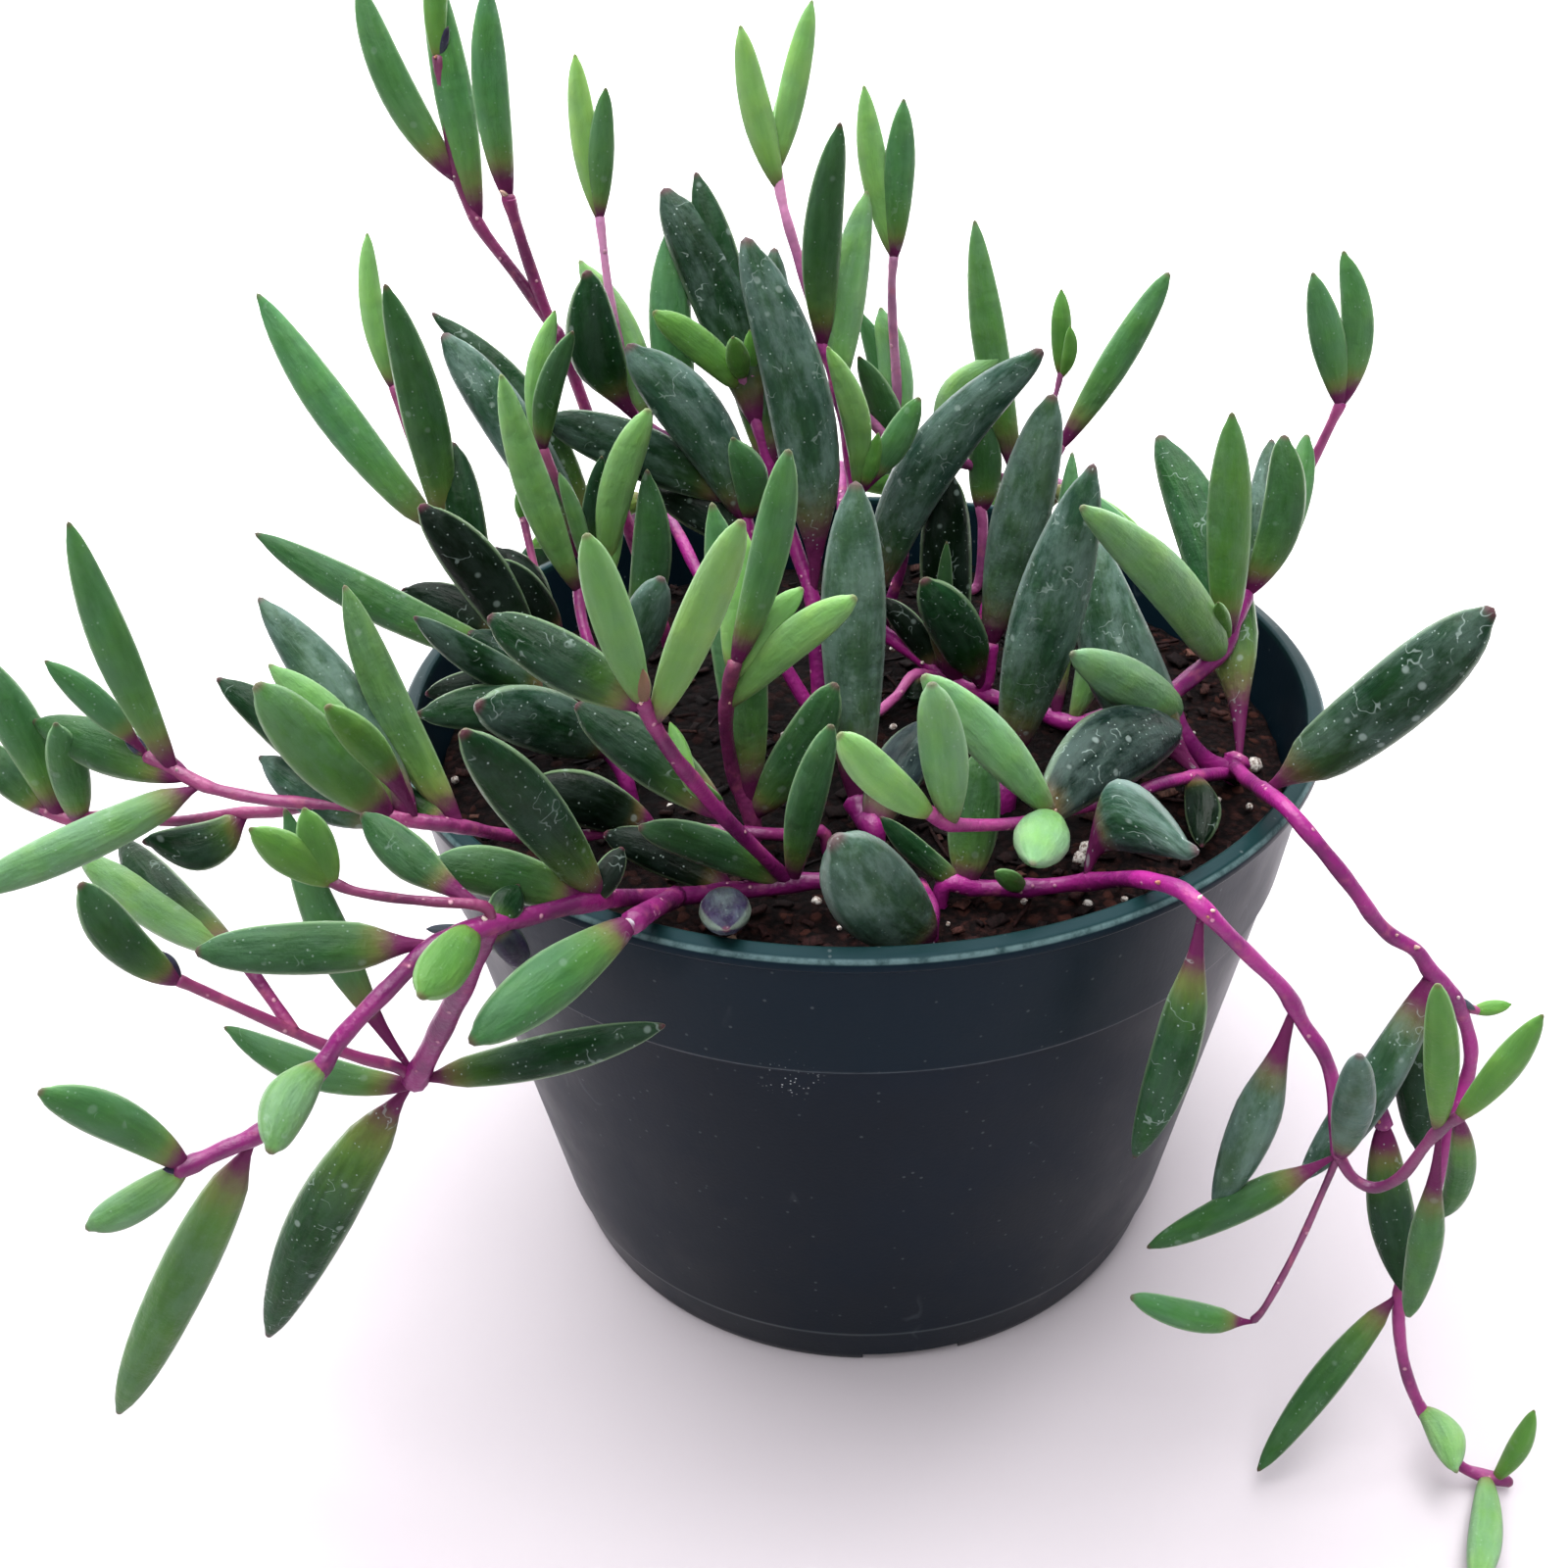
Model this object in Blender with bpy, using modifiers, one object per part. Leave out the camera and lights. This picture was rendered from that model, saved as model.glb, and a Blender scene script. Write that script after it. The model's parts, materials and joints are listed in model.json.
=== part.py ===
"""Potted ruby necklace: trailing shoots with plump spindle leaves in a round nursery pot of soil.

Metres, +Z up. The origin is on the surface that the pot stands on, under the middle of the pot, and the
viewer is on the -Y side. The shoots are laid out as the photograph shows them: each of their points is its
place in the picture, in pixels, and its depth along Y, in millimetres.
"""

import math

import bmesh
import bpy
from mathutils import Euler, Vector

MM = 0.001
GAP = 0.3 * MM

# Pot
RIM_RADIUS = 54.0 * MM
RIM_HEIGHT = 74.5 * MM
LIP_INNER_RADIUS = 51.9 * MM
LIP_DEPTH = 1.8 * MM
COLLAR_HEIGHT = 57.8 * MM
COLLAR_RADIUS = 51.2 * MM
STEP = 0.5 * MM
CREASE_HEIGHT = 6.75 * MM
CREASE_RADIUS = 41.85 * MM
FOOT_RADIUS = 39.85 * MM
WALL = 1.3 * MM
FLOOR_TOP = 3.6 * MM
FLOOR_UNDER = 2.1 * MM
PAD_RADIUS = 9.0 * MM
POT_STEPS = 36
NOTCHES = 4
NOTCH_WIDTH = 12.0 * MM
NOTCH_HEIGHT = 1.4 * MM
NOTCH_REACH = 6.0 * MM
NOTCH_TURN = math.radians(8.5)
DRAIN_HOLES = 6
DRAIN_RADIUS = 3.6 * MM
DRAIN_CIRCLE = 27.0 * MM

# Soil
SOIL_TOP = 66.0 * MM
SOIL_RELIEF = 0.6 * MM
SOIL_EDGE_DROP = 1.0 * MM
SOIL_RINGS = 4
HOLE_DEPTH = 8.5 * MM
FOOT_DEPTH = 7.0 * MM
HOLE_PLAY = 0.35 * MM

# Leaves and stems
LEAF_SIDES = 6
LEAF_RINGS = 4
NARROW_LEAF = 5.3 * MM
LEAF_FLATNESS = 0.72
ROOT_SINK = 0.7 * MM
SOIL_CLEARANCE = 0.4 * MM
STEM_PRECISION = 0.35 * MM
LONGEST_STRAIGHT = 18 * MM
SLENDER_RADIUS = 0.95 * MM

# The picture that the shoots are read from: its middle and focal length in pixels, and where the eye stands
PICTURE_MIDDLE = 800
FOCAL_LENGTH = 1700
EYE = Vector((0.0, -174.2 * MM, 171.7 * MM))
EYE_TURN = Euler((0, 0, math.radians(3.0))).to_matrix() @ Euler((math.radians(57.1), 0, 0)).to_matrix()
EYE_TURN = EYE_TURN @ Euler((0, 0, math.radians(-2.21))).to_matrix()

# Every shoot is a list of stems that are grown together, and its first stem starts in the soil.
# A stem is its route, its first and its last radius in mm, and its leaves. A point of a route is pixels
# across, pixels down and depth in mm. A leaf is the pixels of its root and of its tip, how much deeper
# its tip lies than its root in mm, its width in mm, and its bow to the right as a share of its length.
SHOOTS = {
    "front_runner": [
        (
            [(930, 903, -34.5), (900, 903, -35), (830, 899, -35.5), (760, 908, -37.5),
             (700, 914, -40.5), (640, 916, -45), (612, 918, -49), (585, 923, -52), (540, 935, -55),
             (500, 944, -58), (460, 957, -60), (430, 975, -62), (400, 1005, -64), (370, 1035, -66),
             (345, 1063, -67.5), (327, 1090, -69), (295, 1130, -71), (262, 1158, -73), (230, 1172, -74),
             (200, 1186, -75), (180, 1194, -76)],
            1.15,
            0.85,
            [
                (738, 905, 741, 948, -14.5, 5, 0),
                (808, 890, 848, 742, -4, 3.7, -0.04),
                (800, 898, 655, 845, -4, 4.1, 0.05),
                (745, 908, 620, 852, 5, 4.5, 0.05),
                (610, 910, 474, 749, -8, 5.3, 0.03),
                (592, 920, 443, 881, -2, 4.8, 0.05),
                (605, 912, 634, 867, 3, 2.7, 0),
                (602, 920, 522, 903, 3, 3.1, 0),
                (482, 950, 431, 1015, -9, 4.5, 0),
                (447, 962, 205, 971, -3, 4.7, 0),
                (327, 1088, 277, 1173, -8, 4.2, 0.12),
                (262, 1160, 122, 1440, -3, 4.9, 0.009),
                (185, 1184, 43, 1115, -4, 3.7, 0.064),
                (188, 1196, 91, 1252, -4, 3.3, -0.045),
                (480, 950, 436, 948, 0, 1.1, 0),
                (505, 943, 536, 985, 2, 3, 0),
                (505, 942, 528, 905, 4, 3.1, 0),
                (186, 1192, 167, 1193, -1, 1, 0),
            ],
        ),
        (
            [(805, 900, -35.7), (775, 870, -38.5), (740, 835, -41.5), (710, 800, -44.5),
             (690, 775, -46.5), (670, 745, -48.5), (655, 716, -50)],
            1.1,
            0.9,
            [
                (656, 720, 599, 548, -3, 3.7, -0.01),
                (668, 738, 756, 534, -4, 3.8, 0),
                (655, 716, 656, 684, -1, 1.5, 0),
                (735, 832, 592, 722, 6, 5.5, 0.02),
                (650, 722, 503, 632, 3, 5, -0.01),
                (706, 796, 684, 738, 5, 1.6, 0),
                (696, 785, 737, 818, 5, 1.8, 0.1),
            ],
        ),
        (
            [(690, 915, -41.1), (662, 930, -49.8), (644, 942, -53.5)],
            1.3,
            1.2,
            [
                (645, 941, 484, 1061, -13, 5.3, 0.01),
            ],
        ),
        (
            [(500, 944, -58), (485, 975, -57), (470, 1010, -55), (455, 1040, -53), (440, 1070, -51),
             (423, 1102, -49.5)],
            1.35,
            1.5,
            [
                (421, 1106, 275, 1361, -2, 6.6, 0.045),
                (425, 1103, 675, 1047, -3, 4.2, 0.02),
                (408, 1110, 232, 1049, 1, 3.7, -0.085),
                (405, 1086, 292, 828, 4, 3.8, -0.055),
            ],
        ),
        (
            [(423, 1102, -49.5), (405, 1089, -50.3), (370, 1080, -51.5), (330, 1066, -52.5),
             (300, 1053, -53), (240, 1026, -54.5), (200, 1008, -55.5), (182, 1000, -56)],
            0.75,
            0.6,
            [
                (181, 999, 84, 904, -3, 4.1, -0.085),
                (181, 998, 166, 972, 0, 1.5, 0),
            ],
        ),
        (
            [(300, 1053, -53), (278, 1021, -51.5), (254, 988, -50), (242, 974, -49)],
            0.65,
            0.65,
            [
                (241, 974, 124, 857, 16, 4.6, -0.05),
                (241, 974, 82, 872, 14, 4.3, -0.03),
            ],
        ),
        (
            [(500, 944, -58), (494, 925, -58), (440, 920, -59), (400, 916, -60), (360, 909, -61),
             (337, 899, -61)],
            0.75,
            0.65,
            [
                (336, 898, 257, 847, -3, 3.4, 0),
                (338, 897, 311, 827, 0, 3.1, 0),
                (494, 924, 372, 833, 6, 4, -0.04),
            ],
        ),
        (
            [(938, 903, -34.5), (950, 928, -39.5), (948, 958, -43.5)],
            1.05,
            0.95,
            [
                (946, 957, 855, 860, -5, 8.9, -0.08),
            ],
        ),
    ],
    "right_trailer": [
        (
            [(962, 905, -34), (1000, 906, -34), (1050, 906, -34.5), (1100, 901, -35.5),
             (1145, 897, -41), (1175, 899, -45), (1205, 908, -48.5), (1225, 925, -50.5),
             (1250, 950, -51), (1280, 980, -50.5), (1310, 1010, -50), (1330, 1045, -50),
             (1350, 1075, -50.5), (1360, 1105, -51), (1362, 1140, -52), (1366, 1178, -53)],
            1,
            0.7,
            [
                (1215, 935, 1158, 1179, -1, 4.5, -0.045),
                (1318, 1027, 1240, 1232, -2, 4.6, -0.023),
                (1362, 1178, 1173, 1272, 0, 3.4, -0.01),
                (1380, 1196, 1387, 1078, -8, 3.8, 0.04),
                (1112, 897, 1216, 870, -4, 8, -0.52),
                (985, 905, 1003, 765, 7, 5.3, 0),
                (984, 900, 900, 835, 2, 2.7, -0.04),
                (1045, 903, 1016, 890, -3, 2.1, 0),
            ],
        ),
        (
            [(1366, 1178, -53), (1350, 1215, -53.5), (1330, 1260, -54), (1310, 1300, -54.5),
             (1290, 1335, -55), (1279, 1347, -55)],
            0.6,
            0.6,
            [
                (1279, 1348, 1156, 1324, -1, 3.2, -0.06),
            ],
        ),
        (
            [(1366, 1178, -53), (1380, 1201, -54), (1403, 1212, -55), (1430, 1200, -56),
             (1455, 1168, -57), (1472, 1150, -58), (1490, 1139, -59)],
            0.7,
            0.6,
            [
                (1465, 1154, 1467, 1006, -4, 3.1, 0.03),
                (1487, 1140, 1573, 1037, -3, 2.8, 0.027),
                (1470, 1156, 1437, 1342, 2, 3.3, -0.025),
                (1487, 1140, 1473, 1241, 5, 2.7, -0.1),
            ],
        ),
    ],
    "right_clump": [
        (
            [(1258, 789, -11.5), (1272, 795, -20), (1288, 806, -29), (1310, 822, -35.5),
             (1335, 850, -38), (1360, 880, -39), (1385, 912, -39.5), (1402, 937, -39.5),
             (1420, 955, -39.5), (1445, 970, -39.5), (1460, 992, -39.5), (1474, 1005, -39.5),
             (1486, 1022, -39.5), (1497, 1050, -39.5), (1501, 1075, -40), (1497, 1100, -40),
             (1488, 1125, -41), (1478, 1160, -42), (1462, 1220, -43), (1442, 1280, -44.5),
             (1428, 1320, -46.5), (1429, 1370, -48.5), (1438, 1410, -50), (1452, 1441, -51.5),
             (1472, 1475, -54.4), (1487, 1493, -55.8), (1505, 1503, -56.4), (1540, 1512, -57.1)],
            1,
            0.75,
            [
                (1290, 806, 1518, 626, -5, 7.2, 0.03),
                (1458, 998, 1328, 1203, -6, 4.7, -0.04),
                (1457, 998, 1448, 1173, -2, 5, 0.03),
                (1482, 1018, 1505, 1030, 0, 0.9, 0),
                (1425, 1318, 1285, 1499, -10.5, 3.5, 0.015),
                (1451, 1441, 1485, 1500, -7.2, 3.9, -0.14),
                (1525, 1508, 1565, 1440, 0, 2.3, 0.06),
                (1515, 1507, 1505, 1622, -15, 3.5, -0.05),
            ],
        ),
        (
            [(1486, 1022, -39), (1500, 1029, -39), (1508, 1031, -39)],
            0.45,
            0.45,
            [
                (1507, 1030, 1541, 1025, 0, 1.6, 0),
            ],
        ),
        (
            [(1400, 1105, -41.5), (1412, 1148, -43)],
            0.9,
            1,
            [
                (1412, 1148, 1437, 1321, -6, 4.8, 0.03),
            ],
        ),
        (
            [(1258, 789, -11.5), (1235, 780, -12), (1212, 757, -12), (1198, 732, -11), (1193, 712, -10),
             (1212, 694, -7), (1245, 665, -4), (1258, 635, -2), (1270, 607, 1)],
            1.25,
            1,
            [
                (1236, 664, 1105, 519, -16, 6.9, 0.07),
                (1252, 655, 1257, 425, 0, 4.9, 0),
                (1252, 652, 1243, 615, -7, 1.9, 0),
                (1271, 605, 1310, 448, 3, 4.8, 0.11),
                (1272, 600, 1333, 446, 10, 3.6, 0.08),
                (1268, 607, 1297, 452, 13, 5, 0.05),
                (1262, 625, 1247, 452, 8, 3.6, 0),
                (1196, 730, 1095, 668, -12, 5.6, 0.03),
            ],
        ),
        (
            [(1258, 789, -11.5), (1263, 776, -11)],
            1.5,
            1.6,
            [
                (1263, 776, 1184, 449, 30, 7, 0.07),
            ],
        ),
        (
            [(1270, 607, 1), (1300, 550, 9), (1325, 500, 12), (1345, 460, 12), (1368, 412, 11)],
            0.75,
            0.85,
            [
                (1367, 412, 1340, 281, -1, 3.7, 0.006),
                (1370, 410, 1371, 259, 1, 3.6, 0.1),
            ],
        ),
        (
            [(1258, 789, -11.5), (1215, 793, -18), (1180, 801, -23), (1140, 815, -28), (1085, 828, -34),
             (1040, 840, -39), (970, 841, -44), (948, 829, -46)],
            0.95,
            0.8,
            [
                (1072, 828, 944, 692, -3, 4.6, 0.03),
                (970, 840, 951, 700, -3, 4.4, 0.02),
                (950, 829, 858, 751, -6, 3.9, -0.05),
                (1074, 838, 1054, 880, -12, 6, 0),
                (1215, 793, 1226, 862, -9, 3.8, -0.1),
                (1068, 832, 1199, 742, 19, 8.4, -0.12),
                (1228, 793, 1119, 557, 14, 8.4, -0.105),
            ],
        ),
    ],
    "crown_right": [
        (
            [(1150, 728, 2), (1095, 741, 0), (1055, 738, 3), (1000, 718, 7), (970, 695, 10),
             (930, 666, 12), (896, 642, 13), (884, 630, 13)],
            1,
            1,
            [
                (1092, 740, 1117, 572, 9, 3.9, 0.08),
                (1076, 738, 1094, 464, 13, 3.6, 0),
                (1000, 718, 944, 594, -4, 6.4, 0.05),
                (955, 684, 902, 612, 2, 3.5, 0.05),
                (975, 698, 968, 487, 5, 6.5, -0.03),
                (958, 688, 966, 554, -3, 2.2, 0),
                (895, 634, 1060, 361, -5, 6.7, -0.125),
            ],
        ),
        (
            [(1000, 718, 7), (1008, 690, 7), (1010, 658, 8)],
            1.1,
            1.1,
            [
                (1010, 658, 1073, 408, 0, 6.7, -0.005),
            ],
        ),
        (
            [(970, 695, 10), (980, 613, 13), (998, 596, 14), (1003, 540, 16), (1000, 512, 17),
             (1000, 478, 18)],
            0.95,
            0.95,
            [
                (1002, 520, 1000, 425, 3, 4.2, 0.05),
            ],
        ),
        (
            [(975, 470, 17.5), (1000, 478, 18), (1020, 487, 18.5), (1048, 487, 18.5), (1072, 470, 19),
             (1083, 455, 19.5)],
            0.95,
            0.8,
            [
                (975, 470, 1021, 363, 1, 3.9, -0.25),
                (1038, 480, 995, 228, 2, 4.1, -0.021),
                (1083, 457, 1191, 281, 2, 3.8, 0.008),
            ],
        ),
        (
            [(1072, 470, 19), (1073, 418, 20), (1078, 400, 20.5), (1083, 379, 21)],
            0.5,
            0.5,
            [
                (1082, 380, 1083, 297, 1, 2.5, 0),
                (1083, 382, 1092, 334, -1, 1.8, 0.1),
            ],
        ),
        (
            [(970, 695, 10), (935, 688, 8), (915, 710, 5), (896, 727, 2)],
            0.7,
            0.7,
            [
                (935, 688, 932, 728, -2, 3.1, 0),
            ],
        ),
    ],
    "broad_leaf": [
        (
            [(1022, 812, -16), (1030, 775, -11.5)],
            1.9,
            1.9,
            [
                (1030, 777, 1114, 480, -1, 7.6, -0.01),
            ],
        ),
    ],
    "tall_leaf": [
        (
            [(892, 850, -23.5), (882, 836, -21.5), (874, 818, -19.5)],
            1.3,
            1.5,
            [
                (874, 820, 873, 498, 7, 6.9, -0.01),
                (890, 846, 956, 735, 12, 6, -0.06),
            ],
        ),
    ],
    "light_shoot": [
        (
            [(768, 838, -22.5), (750, 795, -22.5), (741, 745, -24.5), (743, 705, -27), (750, 676, -29)],
            1.4,
            1,
            [
                (748, 722, 871, 611, -6, 4, -0.05),
                (748, 696, 817, 602, 0, 3.1, -0.05),
                (750, 680, 804, 462, -2, 3.8, 0.03),
                (748, 684, 760, 545, 2, 3.7, 0),
                (762, 826, 727, 518, 3.5, 5.6, 0.03),
                (762, 822, 757, 700, 6, 2.8, 0),
                (764, 832, 851, 701, 0, 5.4, 0.05),
            ],
        ),
    ],
    "left_runner": [
        (
            [(842, 852, -24.5), (805, 852, -25.5), (770, 850, -26.5), (700, 847, -25.5),
             (640, 847, -25), (585, 854, -28), (540, 855, -32), (503, 850, -36), (480, 845, -39),
             (450, 841, -41.5), (420, 837, -42.5), (395, 833, -43), (360, 826, -43), (320, 820, -43),
             (280, 817, -43), (240, 810, -43), (210, 802, -43), (180, 787, -42.5), (150, 772, -42)],
            0.95,
            0.7,
            [
                (665, 847, 545, 799, -3, 5.8, 0.03),
                (470, 842, 353, 601, 6, 4.1, -0.04),
                (397, 834, 265, 702, -4, 5.7, -0.02),
                (425, 838, 335, 722, -6, 3.7, 0.06),
                (420, 837, 267, 614, 9, 5.2, 0.033),
                (395, 833, 277, 681, 3, 4, 0.08),
                (380, 830, 225, 695, 6, 4.6, 0.04),
                (397, 834, 268, 774, 4, 4.6, -0.08),
                (452, 841, 385, 795, 3, 2.8, 0),
                (178, 786, 71, 536, 2, 3.7, -0.029),
                (150, 772, 48, 676, 0, 2.9, 0.03),
                (150, 772, 127, 747, 1, 1.5, 0),
                (206, 801, -40, 913, -10, 4.2, -0.01),
                (188, 791, 38, 737, 5, 5, 0),
            ],
        ),
        (
            [(320, 820, -43), (285, 828, -41.5), (240, 830, -40.5), (180, 838, -39.5),
             (100, 833, -38.5), (75, 837, -38), (50, 829, -38), (36, 822, -38)],
            0.8,
            0.7,
            [
                (80, 836, 57, 740, -3, 3.8, 0.02),
                (60, 831, -42, 655, 0, 4.3, 0.05),
                (50, 828, -32, 752, 3, 3.8, 0),
                (248, 830, 150, 858, -3, 4.7, -0.22),
            ],
        ),
    ],
    "crown_left": [
        (
            [(640, 800, -17), (600, 742, -12.5), (545, 685, -7), (490, 618, -2), (457, 553, 2)],
            1.3,
            1.2,
            [
                (455, 553, 265, 303, 4, 4.9, -0.037),
                (457, 545, 394, 294, 0, 4.9, 0.03),
                (492, 620, 462, 455, 7, 4.5, 0),
                (545, 685, 432, 519, -2, 6, 0.06),
                (515, 650, 413, 604, 4, 4.6, 0.08),
                (540, 680, 264, 546, 4, 4.8, -0.03),
                (568, 708, 425, 631, -6, 3.9, -0.05),
                (545, 686, 437, 708, -3, 3.5, 0),
                (600, 742, 430, 729, -4, 5.7, 0.08),
                (618, 768, 490, 721, -12, 7.1, 0.06),
                (580, 718, 481, 647, 3, 4.4, 0.06),
            ],
        ),
        (
            [(457, 553, 2), (440, 505, 3), (420, 450, 4), (402, 395, 5)],
            0.7,
            0.65,
            [
                (402, 396, 375, 240, 2, 2.7, -0.055),
            ],
        ),
        (
            [(640, 800, -17), (620, 720, -8), (566, 645, -2), (546, 580, 2), (534, 528, 5)],
            0.9,
            0.75,
            [
                (566, 650, 509, 572, -4, 4.3, 0.03),
                (560, 630, 506, 562, 4, 4.4, 0.06),
                (534, 528, 530, 500, 0, 1.7, 0),
            ],
        ),
        (
            [(640, 800, -17), (626, 715, -6), (600, 655, -2), (591, 605, 2), (603, 560, 4),
             (577, 510, 4), (554, 458, 3)],
            1.2,
            0.8,
            [
                (592, 604, 512, 385, -6, 4.1, -0.035),
                (600, 575, 455, 345, 6, 6, 0.03),
                (602, 562, 443, 322, 11, 4.3, 0.1),
                (596, 580, 571, 484, -2, 2.1, 0.04),
                (555, 460, 584, 340, -3, 3, -0.08),
                (552, 456, 566, 319, 1, 2.9, -0.08),
                (606, 566, 614, 467, -1, 2.5, -0.03),
            ],
        ),
        (
            [(626, 715, -6), (640, 665, -1), (628, 620, 1), (620, 575, 3)],
            1.1,
            1,
            [
                (620, 577, 661, 420, -4, 4.1, -0.07),
                (622, 590, 627, 466, 2, 2.8, 0),
                (640, 668, 660, 483, 2, 4.6, 0.08),
                (640, 690, 674, 592, -4, 5.2, 0),
            ],
        ),
    ],
    "crown_middle": [
        (
            [(838, 742, -1), (832, 660, 2), (829, 612, 4), (811, 557, 7), (787, 482, 10),
             (775, 440, 11), (764, 402, 12), (768, 381, 12)],
            1.2,
            0.8,
            [
                (829, 610, 762, 249, 4, 7.3, 0.07),
                (762, 402, 669, 320, -2, 3.9, 0.04),
                (766, 384, 765, 338, 0, 1.8, 0),
                (787, 482, 790, 257, 7, 4.6, 0),
                (787, 480, 741, 298, 8, 4.3, 0),
                (765, 404, 711, 180, 7, 4.9, 0.01),
                (772, 436, 680, 198, 7, 6.1, 0.02),
            ],
        ),
        (
            [(764, 402, 12), (757, 384, 11.5)],
            0.7,
            0.7,
            [
                (757, 385, 748, 345, -5, 2.7, 0),
            ],
        ),
        (
            [(838, 742, -1), (790, 660, 2), (764, 590, 5), (760, 527, 8), (727, 483, 10),
             (700, 456, 11), (657, 432, 12), (645, 390, 13), (631, 345, 13.5), (621, 295, 14),
             (612, 222, 15)],
            1.2,
            0.65,
            [
                (763, 528, 748, 449, -4, 4.2, 0.15),
                (760, 530, 644, 357, -1, 7.1, 0.078),
                (748, 512, 560, 428, -2, 6.2, 0.03),
                (655, 431, 600, 281, -3, 6.1, -0.13),
                (660, 433, 593, 269, 5, 4.5, 0.07),
                (705, 460, 687, 229, 8, 5.1, -0.05),
                (612, 222, 587, 58, 0, 3.1, -0.02),
                (613, 222, 618, 92, -1, 2.9, -0.014),
                (762, 560, 672, 502, 4, 5.6, 0.1),
            ],
        ),
        (
            [(838, 742, -1), (876, 640, 3), (877, 560, 6), (874, 507, 9), (868, 470, 10),
             (862, 430, 11), (851, 385, 12), (840, 350, 13), (826, 300, 14), (813, 258, 15),
             (803, 225, 15), (797, 200, 15.5), (792, 168, 16)],
            1.2,
            0.6,
            [
                (792, 192, 756, 29, -1, 3.4, -0.03),
                (795, 172, 828, 3, 1, 3.1, -0.002),
                (793, 160, 798, 92, 2, 1.8, 0),
                (841, 357, 857, 129, -3, 4.3, -0.05),
                (856, 402, 884, 199, 5, 4.4, -0.029),
                (872, 500, 845, 356, -5, 3.3, 0.1),
                (876, 508, 896, 443, -2, 2.1, 0.06),
                (876, 508, 937, 408, -2, 3.5, 0.03),
            ],
        ),
        (
            [(851, 385, 12), (878, 419, 15), (903, 446, 17), (917, 478, 19)],
            0.7,
            0.7,
            [],
        ),
        (
            [(838, 742, -1), (875, 690, 9), (893, 660, 17), (910, 610, 18), (922, 560, 18.5),
             (917, 478, 19), (917, 440, 19), (915, 390, 19), (911, 330, 19), (910, 290, 18.5),
             (912, 262, 18)],
            1.1,
            0.6,
            [
                (907, 250, 882, 90, 0, 3.2, -0.03),
                (912, 262, 922, 104, -1, 3.5, 0.001),
                (917, 440, 899, 317, 3, 4.3, 0.04),
                (918, 480, 877, 366, -3, 3.8, 0.06),
                (917, 470, 879, 321, 3, 3.4, 0.05),
            ],
        ),
    ],
    "top_left_shoots": [
        (
            [(680, 655, 24), (620, 480, 28), (575, 355, 30), (563, 332, 30.5), (530, 285, 31.5),
             (489, 230, 32.5), (468, 183, 33), (455, 120, 33.5), (447, 58, 34)],
            1.1,
            0.75,
            [
                (466, 184, 366, -14, 2, 4.5, -0.07),
                (489, 228, 436, -46, 4, 4.5, 0),
                (447, 60, 448, -62, 1, 2.8, -0.03),
                (447, 60, 457, 28, 0, 1.2, 0),
            ],
        ),
        (
            [(575, 355, 30), (560, 325, 30.5), (540, 270, 31), (521, 210, 31.5), (519, 200, 31.5)],
            0.85,
            0.8,
            [
                (519, 204, 497, -14, 0, 4.3, -0.035),
            ],
        ),
    ],
}

# The shoots that hang behind the pot: the angle round it, how far from its middle they stand, how far
# below the rim they reach, their pairs of leaves and how much the first pair rises
BACK_SHOOTS = {
    "back_shoot_left": (122, 33 * MM, 26 * MM, 4, -0.3),
    "back_shoot_middle": (92, 39 * MM, 40 * MM, 5, -0.1),
    "back_shoot_right": (60, 36 * MM, 20 * MM, 4, -0.5),
}
BACK_OVER_RIM = 3.5 * MM
BACK_OFF_RIM = 11 * MM
BACK_CREST = 0.45
BACK_STEM_RADIUS = 0.9 * MM
BACK_STEM_POINTS = 9
BACK_LEAF_LENGTH = 21 * MM
BACK_LEAF_WIDTH = 5.2 * MM
BACK_LEAF_BOW = 0.06
BACK_LEAF_SPREAD = 0.72
BACK_LEAF_REACH = 0.3
BACK_LEAF_DROOP = 0.12

POT_COLOUR = (0.022, 0.042, 0.045)
SOIL_COLOUR = (0.035, 0.018, 0.012)
LEAF_COLOUR = (0.06, 0.19, 0.075)
STEM_COLOUR = (0.23, 0.025, 0.17)


def clear_scene():
    for obj in list(bpy.data.objects):
        bpy.data.objects.remove(obj)


def new_collection(name):
    collection = bpy.data.collections.new(name)
    bpy.context.scene.collection.children.link(collection)
    return collection


def new_material(name, colour, roughness):
    material = bpy.data.materials.new(name)
    material.use_nodes = True
    shader = material.node_tree.nodes["Principled BSDF"]
    shader.inputs["Base Color"].default_value = (*colour, 1)
    shader.inputs["Roughness"].default_value = roughness
    shader.inputs["Metallic"].default_value = 0
    return material


def add_object(name, mesh, collection, material=None):
    obj = bpy.data.objects.new(name, mesh)
    collection.objects.link(obj)
    if material:
        mesh.materials.clear()
        mesh.materials.append(material)
    return obj


def in_depth(across, down, depth):
    """The point at this place in the picture and this depth in mm."""
    sight = EYE_TURN @ Vector((across - PICTURE_MIDDLE, PICTURE_MIDDLE - down, -FOCAL_LENGTH))
    return EYE + sight * ((depth * MM - EYE.y) / sight.y)


def in_picture(point):
    seen = EYE_TURN.transposed() @ (point - EYE)
    scale = FOCAL_LENGTH / -seen.z
    return Vector((PICTURE_MIDDLE + scale * seen.x, PICTURE_MIDDLE - scale * seen.y))


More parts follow.
